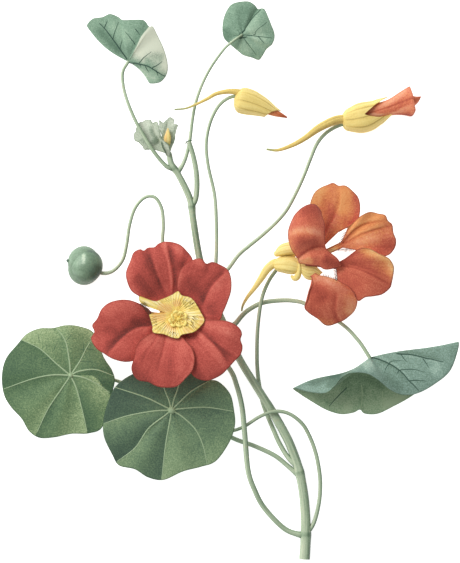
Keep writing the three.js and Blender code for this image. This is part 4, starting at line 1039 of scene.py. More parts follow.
RED_PETALS = {
    "upper_left": dict(
        claw=claw_at(106),
        outline=path("""
            -21.8 -6.6, -19.6 -1.9, -16.4 4.4, -15.2 8.6, -19 13.4, -22.4 15.1, -25.8 15.5,
            -28.6 14.8, -30.4 13.3, -33 13.1, -34.6 11.9, -36 12.5, -38.6 11.2, -39.9 7.8,
            -41.6 3.2, -41.1 -0.8, -39.5 -4.2, -36.8 -6.1, -33 -7.8"""),
        heights=[20.2, 20.6, 22.8, 23.8, 22.0], sides=(-0.5, 0.3),
        creases=path("0.42 -1 0.1, 0.68 0.8 0.12"), waves=3,
    ),
    "upper_right": dict(
        claw=claw_at(36),
        outline=path("""
        -16 -14.1, -10.5 -15.7, -4.6 -16, -3 -12.8, -1.2 -8.6, 0.2 -4, 0.2 0.8, -1.2 4.4,
        -4.2 6.3, -7.2 7.4, -9.6 6.7, -11.1 8.3, -12.6 8.8, -15.2 8.1, -17.7 6.6, -19.8 4.2,
        -20.9 0.2, -21.3 -4, -21.6 -8.2"""),
        heights=[20.2, 21.5, 24.0, 25.0, 23.2], sides=(-0.5, 0.5),
        creases=path("0.45 -0.9 0.09, 0.7 0.7 0.12"), waves=3,
    ),
    "lower_right": dict(
        claw=claw_at(-38),
        outline=path("""
        -20.4 -22, -18.4 -29, -16.6 -35.4, -13.6 -39, -8.8 -39.9, -4 -37.9, -1.1 -35.2,
        1.4 -32.4, 4 -29.6, 4.8 -26.4, 4 -23.5, 4.6 -21.2, 3.2 -18.6, -0.4 -16.5, -5.2 -15.9,
        -11 -15.8"""),
        heights=[20.2, 22.5, 25.5, 26.5, 24.7], sides=(-0.5, 0.8),
        creases=path("0.55 -1 0.1, 0.3 0.6 0.12"), waves=4,
    ),
    "bottom": dict(
        claw=claw_at(-100),
        rungs=[(0.2, (-30.0, -20.3), (-20.2, -21.4))],
        outline=path("""
        -33.2 -21.9, -35.4 -23.2, -37.6 -26.3, -38.1 -30, -39.5 -34.4, -38.9 -37.4,
        -36.7 -39.8, -32.6 -40.6, -29.4 -42.2, -25.6 -42.7, -21.2 -42.1, -17.8 -38.9,
        -15.2 -35.8, -14.3 -31.2, -15.3 -27, -17.2 -24.9"""),
        heights=[20.2, 23.5, 26.9, 27.9, 26.1], sides=(0.3, 0.3),
        creases=path("0.5 -0.8 0.08, 0.3 0.5 0.1, 0.7 0.5 0.1"), waves=4,
    ),
    "left": dict(
        claw=claw_at(195),
        rungs=[(0.2, (-31.6, -12.5), (-29.8, -19.2))],
        outline=path("""
        -33.4 -11.1, -35.8 -9.5, -39.8 -7.9, -44 -7.7, -48.4 -8.9, -51.4 -11.4, -53.2 -15.2,
        -55.2 -17.8, -54.3 -20.4, -55.6 -23.2, -53.6 -27, -50.6 -29.1, -46.6 -31.4,
        -41.4 -32.5, -36.5 -31, -33 -26, -31.2 -22.4"""),
        heights=[20.2, 21.7, 24.2, 25.0, 23.4], sides=(0.4, -0.5),
        creases=path("0.5 -1.1 0.12, 0.75 0.6 0.1"), waves=3,
    ),
}
print("red petals:", *RED_PETALS)

# %% Red petals
# Painted shade in the folds and valleys, and painted highlights on the ridges.
RED_STROKES = {
    "upper_left": """
    0.12 1.2 -0.75 3: -32.6 14, -31 8, -29.7 4, -27.6 -0.9, -24.6 -7.5;
    -0.8 2.4 0.5 1.3: -26 16.5, -25 11.7, -23.5 4.8, -22.9 -0.9, -23.4 -7;
    0.15 0.8 -0.4 0.6: -27.6 15.5, -26.8 11.7, -25 6, -24 -0.9, -24 -7;
    -0.5 2.6: -38.5 2, -36.6 -0.1, -32.5 -5, -30 -8.5;
    0.3 1.6: -39.5 12, -40 7, -41 2, -38.5 -4.5, -34 -7.4;
    0.4 1.8: -28.5 14.4, -24.5 14.2, -20 11.5, -17.5 8;
    -0.6 1.8: -16.6 13.5, -18.3 9.2, -20 3;
    -0.25 1.6: -35 13, -34 8, -34.5 3""",
    "upper_right": """
    0.42 2.4 -0.55 2.2: -1 5.2, -3.1 2.3, -7.2 -2.2, -10.1 -7.5, -11.5 -12;
    0.35 1.3: -17 8, -19.6 5.2, -20.6 0.5, -20.8 -4.5;
    -0.4 3: -18 2, -15 -1.5, -11.5 -6.5, -10 -12;
    -0.4 1.1: -10.6 8.6, -9.2 6, -9.8 1.5;
    -0.4 2.4: -9.5 -9, -6.5 -13, -5 -17;
    0.3 1.5: -15.5 8.5, -12.6 7.6, -10.4 5.2;
    0.25 1: 0.6 3.5, 0 -1.5, -1.5 -9""",
    "lower_right": """
    -0.65 2.2 0.5 2.6: -13.4 -18.6, -10.9 -21.6, -7.2 -25, -3.5 -29.5, -0.4 -35;
    0.15 1.2 -0.35 1.4: -9 -22.4, -5 -25.4, -1.1 -27.9, 4.5 -31.5;
    0.45 2.4: -13 -17, -8 -18.2, -2.5 -19.5, 3.5 -22;
    -0.5 1.9: -16.5 -27, -15.2 -32, -13 -37.5, -10 -40.5;
    -0.5 1.5: -20 -21, -16 -22.5, -12 -22;
    -0.3 1.2: -10 -39.6, -5 -38, 0.5 -33.6""",
    "bottom": """
    0.15 1.2 -0.5 0.8: -25.6 -20, -25.8 -23, -26.4 -26.6, -28 -32, -29.5 -37.5;
    0.1 1 -0.4 0.9: -29.2 -21.5, -30.1 -24.6, -33.3 -28.7, -35.4 -34;
    0.4 3.6: -37 -25.5, -30 -23, -22 -23.8, -15 -28;
    0.35 1.3: -14.6 -26, -14.4 -32, -16.5 -37.6, -20 -41.5;
    -0.45 2.2: -38.6 -31, -38.4 -36.5, -34.5 -39.8, -29 -41.6;
    -0.25 1.6: -24.5 -28.5, -24 -34, -24.5 -40;
    0.2 2: -20 -27, -19.5 -33, -20.5 -38.5""",
    "left": """
    0.22 1.8 -1 2.8: -29 -17.6, -32.1 -18.3, -36.6 -18.9, -40.7 -20.9, -44 -23.8,
        -47.4 -27.4, -50 -31;
    -0.35 1.8: -31 -15, -36 -15.2, -40.5 -16.6;
    0.32 3: -52 -15, -47 -11, -41 -9.6, -35.5 -11;
    -0.35 1.1: -34.4 -10.5, -32.6 -13.5, -31.2 -19, -31.6 -23;
    0.25 1.4: -55.4 -17.5, -55.4 -22, -53.4 -27;
    -0.3 1.6: -51 -19, -47.5 -20, -44 -20.2;
    -0.25 1.4: -47 -31.6, -41.5 -32, -36.5 -30""",
}
for seed, (name, shape) in enumerate(RED_PETALS.items()):
    form = petal_form(fan(**shape), strokes_of(RED_STROKES[name]), seed=seed)
    show(f"red_{name}_petal", [form], [RED_FACE, RED_BACK], f"red_petal_{name}")

# %% [markdown]
# ## The orange flower's petals
#
# This flower looks to the right, so its petals are seen from the side and from behind. Four of
# them are fans as before. They have long narrow claws, so they need more rungs, and each has
# strokes that warm its red to orange as well as strokes of painted shade and highlight.

# %% Outlines of the orange petals
ORANGE_PETALS = {
    "top": dict(
        claw=path("30.9 7.6, 30.2 8.8"),
        rungs=[(0.4, (43.0, 19.2), (31.0, 21.0))],
        outline=path("""
        44.4 20.2, 47.2 21.4, 50.3 23.1, 51.5 25.8, 51.8 29.8, 51 33.2, 48.8 35.8, 46 37.9,
        43.2 37.9, 41 39, 38.4 38.1, 36 37.1, 33.7 35.3, 32.3 32.4, 31.4 28, 31 23"""),
        heights=[18.6, 17.2, 17.6, 18.4, 16.6], creases=[(0.4, -0.8, 0.1)], waves=3,
    ),
    "upper_right": dict(
        claw=path("30.2 6.9, 29.7 8.6"),
        rungs=[(0.4, (44.8, 13.1), (44.2, 15.4)), (0.55, (48.6, 12.4), (45.8, 18.8))],
        outline=path("""
        61.8 9.6, 64 10.8, 65.8 13.4, 66.1 16.3, 65.1 19, 64.6 22.3, 62.9 23.9, 61.8 26.1,
        59 26.7, 55.8 27.4, 52.4 26, 49.2 23.2, 46.9 21.3"""),
        heights=[20.0, 20.0, 20.6, 21.0, 18.8], creases=[(0.6, -0.9, 0.1)], waves=4,
    ),
    "lower_right": dict(
        claw=path("29.9 5.9, 29.9 7.1"),
        rungs=[
            (0.2, (42.2, 4.6), (42.8, 7.2)),
            (0.4, (42.8, -0.2), (46.0, 9.0)),
            (0.6, (47.2, -2.5), (50.2, 12.2)),
        ],
        outline=path("""
        49.4 -5, 50.9 -8.2, 53.8 -6.7, 57 -6.3, 60.6 -5.5, 63.6 -3, 64.4 -0.8, 65.1 3.5,
        64.9 6.2, 63 9, 59.4 10.4, 55.8 12.6, 52.6 13.1"""),
        heights=[20.4, 21.0, 23.2, 24.0, 21.6], creases=[(0.55, -1.0, 0.12)], waves=4,
    ),
    "bottom": dict(
        claw=path("29.7 3.6, 30.3 5.2"),
        rungs=[(0.2, (32.5, 1.0), (35.2, 2.2))],
        outline=path("""
        33 -1.2, 31.6 -4.2, 30.8 -7.8, 29.5 -10.8, 31.4 -13.1, 35 -15.5, 37.4 -17.6, 39.8 -18,
        44.2 -16.4, 46.8 -14.8, 49.6 -11.8, 50.6 -8.4, 50 -5, 47.6 -2.2, 42.6 0, 38.8 1.6"""),
        heights=[19.0, 20.2, 20.8, 18.8, 14.8], creases=[(0.45, -0.8, 0.1)], waves=3,
    ),
}
print("orange petals:", *ORANGE_PETALS)

# %% Four orange petals
# Painted shade in the folds and painted highlights on the ridges. The thin dark and pale strokes
# along the upper right petal's claw are its own brown and cream stripes.
ORANGE_STROKES = {
    "top": """
    0.25 1.8 -0.35 1.4: 44 40, 43.6 31.2, 42.3 26.9, 38.8 19.9, 35 13;
    -0.3 2.2: 51.5 23, 48 23.5, 44 22;
    -0.2 2: 38.5 37, 38 31, 38.5 25;
    0.3 2.6: 33 29, 34 34, 38 37.5""",
    "upper_right": """
    0.35 1 -1 0.9: 44 15.4, 45.6 16.6, 49.7 20.8, 55.3 23.4, 63.5 24.6;
    0.35 0.8 -0.9 0.8: 44 14.8, 46.8 15.8, 51.8 18.6, 58.3 20.8, 65.5 22.6;
    0.25 2.4: 49 14, 55 16.5, 61 17.5;
    -0.25 2.4: 57 10.5, 62 12, 66.5 14.5;
    -1.2 0.2: 31 8.3, 38 11.3, 44.4 14.2;
    -1.2 0.2: 31 9.1, 38 12.1, 44 14.9;
    -1 0.2: 31 7.5, 38 10.5, 44 13;
    1.1 1.1: 31 8.2, 38 11.3, 43.4 13.7;
    0.2 2.4: 46 12, 52 15.2, 60 16.6""",
    "lower_right": """
    -0.6 2.6 0.2 1.4: 40 5.9, 43.2 5.6, 49.7 4.7, 54 3, 58.3 0.8, 65.5 -3;
    -0.45 2.2: 42 6.4, 46 9.4, 50.5 12.6;
    0.65 2.4: 52 13.2, 57 11.6, 62 9.6, 65 5, 64.6 -0.5;
    0.5 0.4: 44 6.3, 48 5.8, 53.1 4.3, 59.5 1.8, 64.2 -1.1;
    -0.2 2: 43.5 2, 46.5 -0.6, 50.5 -4;
    0.15 2.6: 52 -2, 57 -3, 61 -3.5""",
    "bottom": """
    0.3 1.8 -0.45 1.6: 42.8 -4, 42.5 -7, 42.1 -11.3, 43.2 -15.2, 44.4 -18;
    -0.55 3.4: 32 -2.5, 35 -5, 38 -9;
    0.6 2.8: 31.6 0, 36 0.8, 41 -0.8, 46 -2.6, 49 -5.6;
    0.35 3: 47 -4, 47.6 -9, 46 -14.5;
    0.3 2.2: 49 -5, 49.4 -10, 46.5 -14;
    -0.25 1.6: 31 -9.5, 33.5 -13, 37.5 -15.5""",
}
ORANGE_WARMTH = {
    "top": """
    0.55 3.4: 31.5 28, 34 34.5, 39 38.5;
    0.6 2.6: 45.5 38.5, 45.2 31.5, 43.8 25;
    -0.55 2: 49 37, 51.5 31, 50.5 24, 46 21;
    -0.35 2.6: 41 32, 40.5 25, 37 17, 33 11""",
    "upper_right": """
    0.55 3.4: 46 18, 52 24, 58 26.4, 64 25.5;
    0.25 2.2: 47 16.5, 54 20.5, 62 22.5;
    1 1.6: 31 7.9, 38 11.5, 44 14.4;
    -0.55 3.4: 56 9.5, 62 12, 67 17""",
    "lower_right": """
    1.1 3.2: 50 13.5, 56 12.4, 61 10.6, 65.5 6, 65 -1.5;
    0.3 2: 56 7, 60 5, 62.5 1""",
    "bottom": """
    0.3 3.2: 48 -1, 49.8 -6, 48.5 -12, 44.5 -17;
    0.5 1.8: 31.5 1, 36.5 2.4, 42 0.6, 46.5 -1.5;
    0.45 2.2: 33.5 -14.6, 38 -17, 43 -16.4;
    0.2 3.2: 45 -4, 46.4 -9, 45 -14""",
}
ORANGE_BASE = {
    "top": (0.05, 0.5), "upper_right": (0.08, 0.4), "lower_right": (-0.05, 0.05),
    "bottom": (0.05, -0.05),
}
for seed, (name, shape) in enumerate(ORANGE_PETALS.items()):
    strokes, warmth = strokes_of(ORANGE_STROKES[name]), strokes_of(ORANGE_WARMTH[name])
    form = petal_form(fan(**shape), strokes, warmth, *ORANGE_BASE[name], seed + 7)
    show(f"orange_{name}_petal", [form], [ORANGE_FACE, ORANGE_BACK],
         f"orange_petal_{name}")

# %% [markdown]
# ## The petal that curls back
#
# The petal nearest to the eye folds over the calyx. A fan can't turn back on itself, so this one
# is a net: rows of points from its lower edge, over the fold, to its outer margin.

# %% The front petal
FRONT_NET = paths("""
    27.2 6.8 22, 31.2 6.2 23.6, 35.2 5.8 24.2, 38.2 4.4 24.4, 44.5 5.7 24.2;
    27 7.8 23, 30.6 8.8 25.8, 34.4 9.4 26.4, 38.2 9.2 26.2, 42.8 8.5 25.4;
    26.6 9 23.4, 29.8 11.3 25.4, 33 12.8 25.8, 35.9 13.3 25.6, 38.4 12.4 25.2;
    23.9 13.2 24.6, 27.9 15.8 29, 32.2 17 30.2, 35.4 17.4 29, 37.5 16.6 26.8;
    22.8 18.6 24.8, 26.2 20.9 29.4, 30.8 22.5 30.6, 34.8 22.9 29, 37.4 22 26.4;
    23.9 22.8 23.8, 26 26.7 26, 30.1 29.8 26.6, 33.6 30.2 25.6, 36 27.4 24.4""")


def net(rows):
    """The smooth surface through rows of points."""
    lines = [Line(row) for row in rows]

    def place(s, t):
        columns = np.stack([line.at(t) for line in lines])
        slopes = slopes_of(columns)
        first, u = stop_before(s, len(rows))
        pick = lambda values, k: np.take_along_axis(values, k[None, ..., None], 0)[0]
        pairs = [pick(values, k) for values in (columns, slopes) for k in (first, first + 1)]
        return spline(u, *pairs)

    return place


# Painted shade along the fold and in the hollows, and painted highlights on the raised parts.
FRONT_STROKES = strokes_of("""
    -0.75 0.8 0.3 1.3: 25.4 8.2, 27 9.2, 29.8 11.4, 32.6 12.9, 35.6 13.5, 39.5 12.6;
    -0.55 4: 37.5 27, 32.5 28.5, 27 26;
    0.7 1.7: 22 18.2, 27.6 20, 32.8 19.8, 39 17;
    -0.35 2.2: 25.5 15.5, 30 15.6, 35.5 15.4;
    -0.65 2.4: 36.5 9.8, 40 7.8, 45 5.8;
    0.5 2.2: 26 7, 29 7.8, 33 8.8;
    -0.4 1.3: 38.6 26, 37.8 21, 38.4 16;
    0.25 1.2: 23 21, 23 16, 25 11""")
FRONT_WARMTH = strokes_of("""
    0.3 2: 22 17, 28 19.4, 34 19.4;
    0.4 1.8: 22.8 17, 24.6 12, 26.8 9;
    0.5 2: 26.5 6.4, 30 7.4, 33.5 8""")
front = petal_form(net(FRONT_NET), FRONT_STROKES, FRONT_WARMTH, -0.08, 0.05, 12.0)
show("orange_front_petal", [front], [ORANGE_FACE, ORANGE_BACK],
     "orange_petal_front")

# %% [markdown]
# ## Hairs on the claws
#
# Where a claw widens into its blade it has a fringe of short hairs. Hairs from a particle system
# don't survive an export, so each hair is a real, very thin tube.


# %% The fringe
def fringe(rows, seed):
    """Short hairs in rows: first and last root, the hairs' reach in plan, their number."""
    scatter = np.random.default_rng(seed)
    hairs = []
    for first, last, reach, count in rows:
        for share in np.linspace(0, 1, count):
            root = Line([first, last]).at(share)
            tip = root + np.append(np.array(reach) * scatter.uniform(0.7, 1.3), 0.2)
            hairs.append(tube([root, (root + tip) / 2, tip], lambda u, a: 0.19 - 0.1 * u, 5, 0.4))
    return hairs


HAIR_GREY = plain_finish("hair_grey", ink(84, 78, 58), 0.7)
show("orange_petal_fringe", fringe([
    ((44.1, 15.0, 20.4), (46.2, 19.0, 20.6), (-0.75, 0.35), 8),
    ((42.6, 12.5, 20.2), (48.9, 12.7, 20.6), (0.1, -0.95), 13),
    ((42.3, 4.8, 20.6), (42.6, 0.4, 21.2), (-0.95, -0.25), 9),
    ((37.0, 1.6, 20.0), (42.4, 0.2, 20.2), (0.15, 1.0), 9),
], 9), [HAIR_GREY] * 3)

# %% [markdown]
# ## The throat of the red flower
#
# The claws of the petals meet in a yellow throat, pleated like a skirt, with short olive hairs
# that guide insects and a few dark ones that stick out over the left petal. It is one more
# shield with many pleats. Each hair is again a thin tube, which lies on the tissue.

# %% The throat's finish
YELLOW_STOPS = tones("""
    -1 142 120 66, -0.5 196 168 92, 0 234 208 122, 0.5 248 228 150, 1 253 243 200""")
LEMON_STOPS = tones("""
    -1 150 122 52, -0.5 202 170 76, 0 238 210 106, 0.5 250 230 134, 1 254 243 188""")
OCHRE_STOPS = tones("""
    -1 156 100 50, -0.5 200 140 74, 0 226 176 100, 0.5 240 202 130, 1 250 228 172""")


def yellow_finish(name, roughness=0.55, yellows=YELLOW_STOPS):
    """Yellow tissue of sepals and throats. The warm mark leans it to ochre."""
    yellow = Finish(name, roughness, 0.25)
    lengthwise = yellow.vector(
        yellow.scaled(yellow.mark("across"), 30.0), yellow.scaled(yellow.mark("along"), 1.5),
        yellow.scaled(yellow.mark("seed"), 5.0),
    )
    fine = yellow.noise(0.5)
    streaks = yellow.noise(1.0, lengthwise, 3.0)
    tone = yellow.add(yellow.mark("tone"), yellow.swing(streaks, 0.55), yellow.swing(fine, 0.35))
    warm = yellow.between(yellow.add(yellow.mark("warm"), yellow.swing(fine, 0.4)), 0.0, 1.0)
    colour = yellow.mix(warm, yellow.ramp(tone, yellows), yellow.ramp(tone, OCHRE_STOPS))
    green = yellow.between(yellow.mark("green"), 0.0, 1.0)
    colour = yellow.mix(green, colour, ink(158, 168, 112))
    return yellow.done(yellow.edged(colour, ink(112, 58, 30), 0.06, 0.3, 0.7), streaks, 0.08)


THROAT_YELLOW = yellow_finish("throat_yellow", yellows=LEMON_STOPS)
HAIR_OLIVE = plain_finish("hair_olive", ink(168, 150, 74), 0.7)
HAIR_BROWN = plain_finish("hair_brown", ink(126, 98, 46), 0.7)
HAIR_DARK = plain_finish("hair_dark", ink(74, 62, 46), 0.7)
HAIR_CREAM = plain_finish("hair_cream", ink(255, 246, 206), 0.7)
THROAT_FINISHES = [THROAT_YELLOW, THROAT_YELLOW, HAIR_OLIVE, HAIR_BROWN, HAIR_DARK, HAIR_CREAM]
print("throat finishes:", len(THROAT_FINISHES))

# %% [markdown]
# ## The throat's pleats and hairs
#
# The throat is a pleated ruff that is open on the left, with hairs in clumps. Rows with a first
# and a last hair are quicker than placing each one: those between are spread evenly and swayed
# a little, and the surface under a hair gives its height.

# %% The pleats
THROAT_CENTRE = (-22.6, -13.9, 21.6)
THROAT_MARGIN = path("""
    -10.3 -15.9 25, -11.7 -12.7 24.4, -13.1 -10.2 24, -14.5 -8 23.7, -16.4 -6.6 23.6,
    -19.4 -5.8 23.5, -20.9 -4.2 23.4, -23.5 -5.7 23, -27.2 -7.3 22.4, -30.2 -8.2 22.6,
    -33.6 -7.2 23.1, -36.4 -6.3 23.5, -35.8 -9 23.1, -32.2 -10.6 22.8, -29.6 -11.4 22.5,
    -25.2 -12.4 22, -28.8 -12.95 22.4, -32.3 -13.2 23.2, -31.9 -15.7 23.4, -31.2 -18.2 24.2,
    -30.8 -20.8 25.2, -26.6 -21.5 25.4, -23.6 -22.7 25.5, -20.8 -23.1 25.7, -19.2 -21.7 25.5,
    -14.6 -20.6 25.4, -11.9 -18.4 25.2""")
PLEATS = 42
# Painted highlights on the raised edges and painted shade along the folds.
THROAT_STROKES = strokes_of("""
    0.4 1.3: -35 -7.4, -31 -9, -27.5 -8.8;
    0.35 1.2: -24.5 -7.6, -21.3 -5.8, -20.2 -7.6;
    -0.5 0.5: -19.8 -6.6, -20 -9, -20.3 -11.6;
    -0.75 0.35: -17.2 -12.2, -14.9 -11.3, -12 -11.1;
    0.45 2.6: -18.8 -11.5, -15.6 -14.5, -15 -16.5;
    -0.55 0.5: -32.8 -13.4, -29 -13.2, -25.5 -12.9;
    0.35 1.6: -28.5 -18.5, -24 -20.5, -20.5 -22;
    -0.45 1.3: -16.8 -18.2, -14 -19.2, -12.2 -17.6;
    -0.35 0.7: -24.6 -14.6, -24.5 -17, -22.4 -18.9, -19.2 -18.2""")
THROAT_WARMTH = strokes_of("""
    0.95 1.5: -29.4 -9.9, -26.5 -10.9, -23 -11;
    0.9 1.1: -23 -10.2, -21.2 -8.8, -20.6 -10.5;
    0.8 1.7: -32 -14, -28.5 -14.6, -25.4 -14.6;
    0.6 1.2: -26 -17, -24.5 -19, -21 -19.6;
    0.5 1.2: -19 -19.4, -15.5 -20.3;
    0.8 0.7: -12.6 -13.2, -11.4 -15.6, -12.6 -18.4""")


def throat_place(s, t):
    points = shield(THROAT_CENTRE, THROAT_MARGIN, lambda t: 0.4)(s, t)
    heading = np.arctan2(points[..., 1] - THROAT_CENTRE[1], points[..., 0] - THROAT_CENTRE[0])
    rise = np.clip((s - 0.12) * 2, 0, 1) * (1 - 0.35 * s)
    points[..., 2] += 0.14 * rise * np.cos(PLEATS * heading) + 0.25
    return points


throat_edge = Line(THROAT_MARGIN, closed=True)
throat_outline = throat_edge.at(np.linspace(0, 1, 300, endpoint=False))[:, :2]


def throat_marks(s, t, points):
    plan = points[..., :2]
    heading = np.arctan2(points[..., 1] - THROAT_CENTRE[1], points[..., 0] - THROAT_CENTRE[0])
    # Painted shade and light: the pleats' valleys are darker and their crests lighter.
    painted_pleat_shade = 0.22 * np.clip(s * 1.4 - 0.1, 0, 1) * np.cos(PLEATS * heading)
    open_edge = (plan[..., 0] < -25.0) & (plan[..., 1] < -8.6) & (plan[..., 1] > -13.6)
    return {
        "tone": np.clip(0.35 + painted_pleat_shade + brushed(plan, THROAT_STROKES), -1.0, 1.0),
        "warm": 0.3 + brushed(plan, THROAT_WARMTH),
        "rim": rim_distance(plan, throat_outline) + 9 * open_edge,
        "across": 3 * t, "along": s,
    }


throat = sheet(throat_place, 30, 416, lambda s: 0.3 + 0 * s, throat_marks, closed=True)
print("pleats:", PLEATS)

# %% The hairs of the throat
# Rows of hairs: first and last root, first and last tip, then number, thickness and kind.
HAIR_ROWS = paths("""
    -16.6 -9.2, -15.3 -9.6, -15.3 -7.5, -13.9 -8.5, 4 0.10 3;
    -19.2 -8.8, -18.0 -10.9, -18.8 -6.5, -14.4 -9.4, 11 0.07 2;
    -18.8 -8.0, -16.6 -8.6, -18.4 -6.4, -15.5 -7.0, 6 0.10 5;
    -16.6 -10.6, -16.0 -11.6, -13.6 -9.6, -12.8 -10.8, 4 0.07 2;
    -15.0 -14.0, -15.8 -17.4, -12.6 -15.2, -14.2 -20.0, 8 0.10 3;
    -13.8 -13.6, -17.6 -18.0, -11.6 -14.8, -17.2 -20.6, 11 0.07 2;
    -14.6 -16.6, -15.6 -18.2, -13.3 -18.2, -14.4 -19.8, 4 0.10 5;
    -24.4 -20.4, -21.2 -20.9, -25.4 -21.8, -22.2 -22.8, 8 0.09 3;
    -24.2 -20.7, -20.6 -21.2, -25.1 -22.0, -21.4 -22.9, 6 0.09 5;
    -26.6 -16.4, -25.4 -17.8, -29.4 -19.4, -28.0 -20.6, 4 0.08 2;
    -29.6 -18.0, -25.4 -20.0, -30.6 -19.6, -26.2 -21.3, 11 0.07 2;
    -29.6 -14.8, -29.4 -17.2, -32.0 -15.5, -31.0 -18.0, 7 0.10 3;
    -22.6 -7.8, -29.6 -9.8, -23.8 -6.1, -31.2 -8.6, 14 0.06 2""")
sway = np.random.default_rng(4)


def found_on(place, t_range, plan):
    """The s and t where a part of a sheet passes over plan points."""
    s, t = np.meshgrid(np.linspace(0.01, 1, 120), np.linspace(*t_range, 360), indexing="ij")
    grid = place(s, t)[..., :2].reshape(-1, 2)
    nearest = [np.linalg.norm(grid - point, axis=1).argmin() for point in np.atleast_2d(plan)]
    return s.ravel()[nearest], t.ravel()[nearest]


hairs = []
for first_root, last_root, first_tip, last_tip, (count, thickness, kind) in HAIR_ROWS:
    kinds = (int(kind),) * 3
    for share in np.linspace(0, 1, int(count)):
        root = Line([first_root, last_root]).at(share) + sway.uniform(-0.25, 0.25, 2)
        tip = Line([first_tip, last_tip]).at(share) + sway.uniform(-0.15, 0.15, 2)
        s, t = found_on(throat_place, (0, 1), Line([root, tip]).at(np.linspace(0, 1, 4)))
        route = throat_place(s, t) + [0, 0, 0.16]
        hairs.append(tube(route, lambda u, a: thickness * (1 - 0.6 * u), 5, 0.6, kinds=kinds))

# Free hairs along the edge of the left petal, across the gap beside the throat.
FREE_HAIR_ROOTS = Line(path("-36 -9.5 24, -34.9 -10.6 23.9, -33.8 -12 23.7, -32.6 -13.6 23.6"))
for share in np.linspace(0, 1, 11):
    root = FREE_HAIR_ROOTS.at(share)
    length = sway.uniform(1.3, 2.1)
    tip = root + length * np.array([0.78, 0.56, 0.16])
    route = [root, (root + tip) / 2 + [0, 0, 0.1], tip]
    hairs.append(tube(route, lambda u, a: 0.19 * (1 - 0.5 * u), 5, 0.5, kinds=(4, 4, 4)))
show("red_throat_tissue", [throat, *hairs], THROAT_FINISHES, "red_throat")

# %% [markdown]
# ## Stamens
#
# Eight stamens crowd round the style in the throat. Each filament ends in an anther, a small
# curled pod. They are short tubes again: a thin one that leans outward and a thick hooked one.

# %% Stamens and style
STAMEN_BASE = np.array([-20.8, -15.4, 23.2])
ANTHER_YELLOW = yellow_finish("anther_yellow", 0.5, LEMON_STOPS)
# Each stamen: heading in degrees, how far out its anther is, and how it curls.
STAMENS = [
    (20, 3.0, 70), (62, 2.7, 110), (105, 2.9, 80), (150, 2.6, 120),
    (196, 3.1, -70), (232, 3.0, -60), (280, 2.5, -110), (330, 3.1, -80),
]


def stamen(heading, reach, curl):
    """A filament and the hooked anther on its end."""
    angle, turn = math.radians(heading), math.radians(heading + curl)
    out = np.array([math.cos(angle), math.sin(angle), 0.0])
    over = np.array([math.cos(turn), math.sin(turn), 0.0])
    up = np.array([0.0, 0.0, 1.0])
    knee = STAMEN_BASE + out * 0.6 * reach + up * 1.5
    end = STAMEN_BASE + out * reach + up * 1.7
    filament = tube([STAMEN_BASE + out * 0.5, knee, end], lambda u, a: 0.24 - 0.04 * u, 8, 0.5)
    hook = [end - over * 0.8, end + out * 0.3 + up * 0.25, end + over * 0.9,
            end + over - out * 0.6]
    pod = lambda u, a: (0.28 + 0.34 * np.sin(np.pi * u) ** 0.6) * (1 - 0.14 * np.cos(2 * a) ** 4)
    anther = tube(hook, pod, 14, 0.3)
    for form in (filament, anther):
        # Painted light on the side towards the lamp, and painted shade on the lower side of each
        # filament and anther.
        form.marks["tone"] = 0.2 + 0.4 * form.marks["lit"] - 0.3 * (form.marks["turn_x"] > 0.3)
    return [filament, anther]


stamens = [form for row in STAMENS for form in stamen(*row)]
disc = tube([STAMEN_BASE - [0, 0, 0.9], STAMEN_BASE + [0, 0, 0.3]],
            lambda u, a: 1.5 - 0.4 * u, 20, 0.3)
style = tube([STAMEN_BASE, STAMEN_BASE + [0.3, 0.2, 1.4], STAMEN_BASE + [0.9, 0.4, 2.4]],
             lambda u, a: 0.3 - 0.1 * u, 10, 0.4)
for form, tone in ((disc, 0.1), (style, 0.5)):
    form.marks["tone"] = tone
show("red_stamens_fine", [*stamens, disc, style], [ANTHER_YELLOW] * 3, "red_stamens")

# %% [markdown]
# ## Sepals and spurs
#
# Under the petals sits a yellow green cup, the calyx, with five sepals and a long hollow spur
# that holds the nectar. Sepals have fine lengthwise lines. A cup with pointed sepals is a closed
# sheet whose reach along the route depends on the direction round it.

# %% The calyx's finish and shapes
SEPAL_YELLOW = yellow_finish("sepal_yellow")
CALYX_FINISHES = [SEPAL_YELLOW] * 3


def lined(form, lines, depth=0.7, tone=0.1, green_from=None):
    """Adds lengthwise olive lines to a tube, painted light on its side towards the lamp, and green
    towards its end from a share on.
    """
    angle = np.arctan2(form.marks["turn_y"], form.marks["turn_x"])
    form.marks["across"] = angle / (2 * np.pi)
    form.marks["along"] = form.marks["share"]
    line = np.clip(np.cos(lines * angle), 0, 1) ** 8
    form.marks["tone"] = tone - depth * line + 0.3 * form.marks["lit"]
    if green_from is not None:
        form.marks["green"] = np.clip((form.marks["share"] - green_from) / (1 - green_from), 0, 1)
    return form


def petalled_cup(route, radii, reach, lines, ribs, columns=160, rows=36, tone=0.1, lean=0.0):
    """A cup whose rim is cut into lobes: reach(t) is how far along the route it goes."""
    share, centres, _, firsts, seconds = rings_along(Line(route), 60)
    frame = lambda values, u: np.stack([np.interp(u, share, values[:, i]) for i in range(3)], -1)

    def place(s, t):
        u = s * reach(t)
        angle = 2 * np.pi * t
        base = np.sqrt(1 - (1 - np.minimum(1, 6 * s)) ** 2)
        radius = along(radii, u) * base * (1 + ribs * np.cos(lines * angle))
        radius = radius * (1 - lean * u**2 * np.sin(angle))
        side, over = frame(firsts, u), frame(seconds, u)
        ring = side * np.cos(angle)[..., None] + over * np.sin(angle)[..., None]
        return frame(centres, u) + ring * (radius * (s > 0))[..., None]

    def marks(s, t, points):
        angle = 2 * np.pi * t
        line_mark = np.clip(np.cos(2 * lines * angle), 0, 1) ** 6
        return {"tone": tone - 0.6 * line_mark * np.clip(3 * s, 0, 1), "across": t, "along": s}

    return sheet(place, rows, columns, lambda s: 0.4 - 0.15 * s, marks, closed=True)


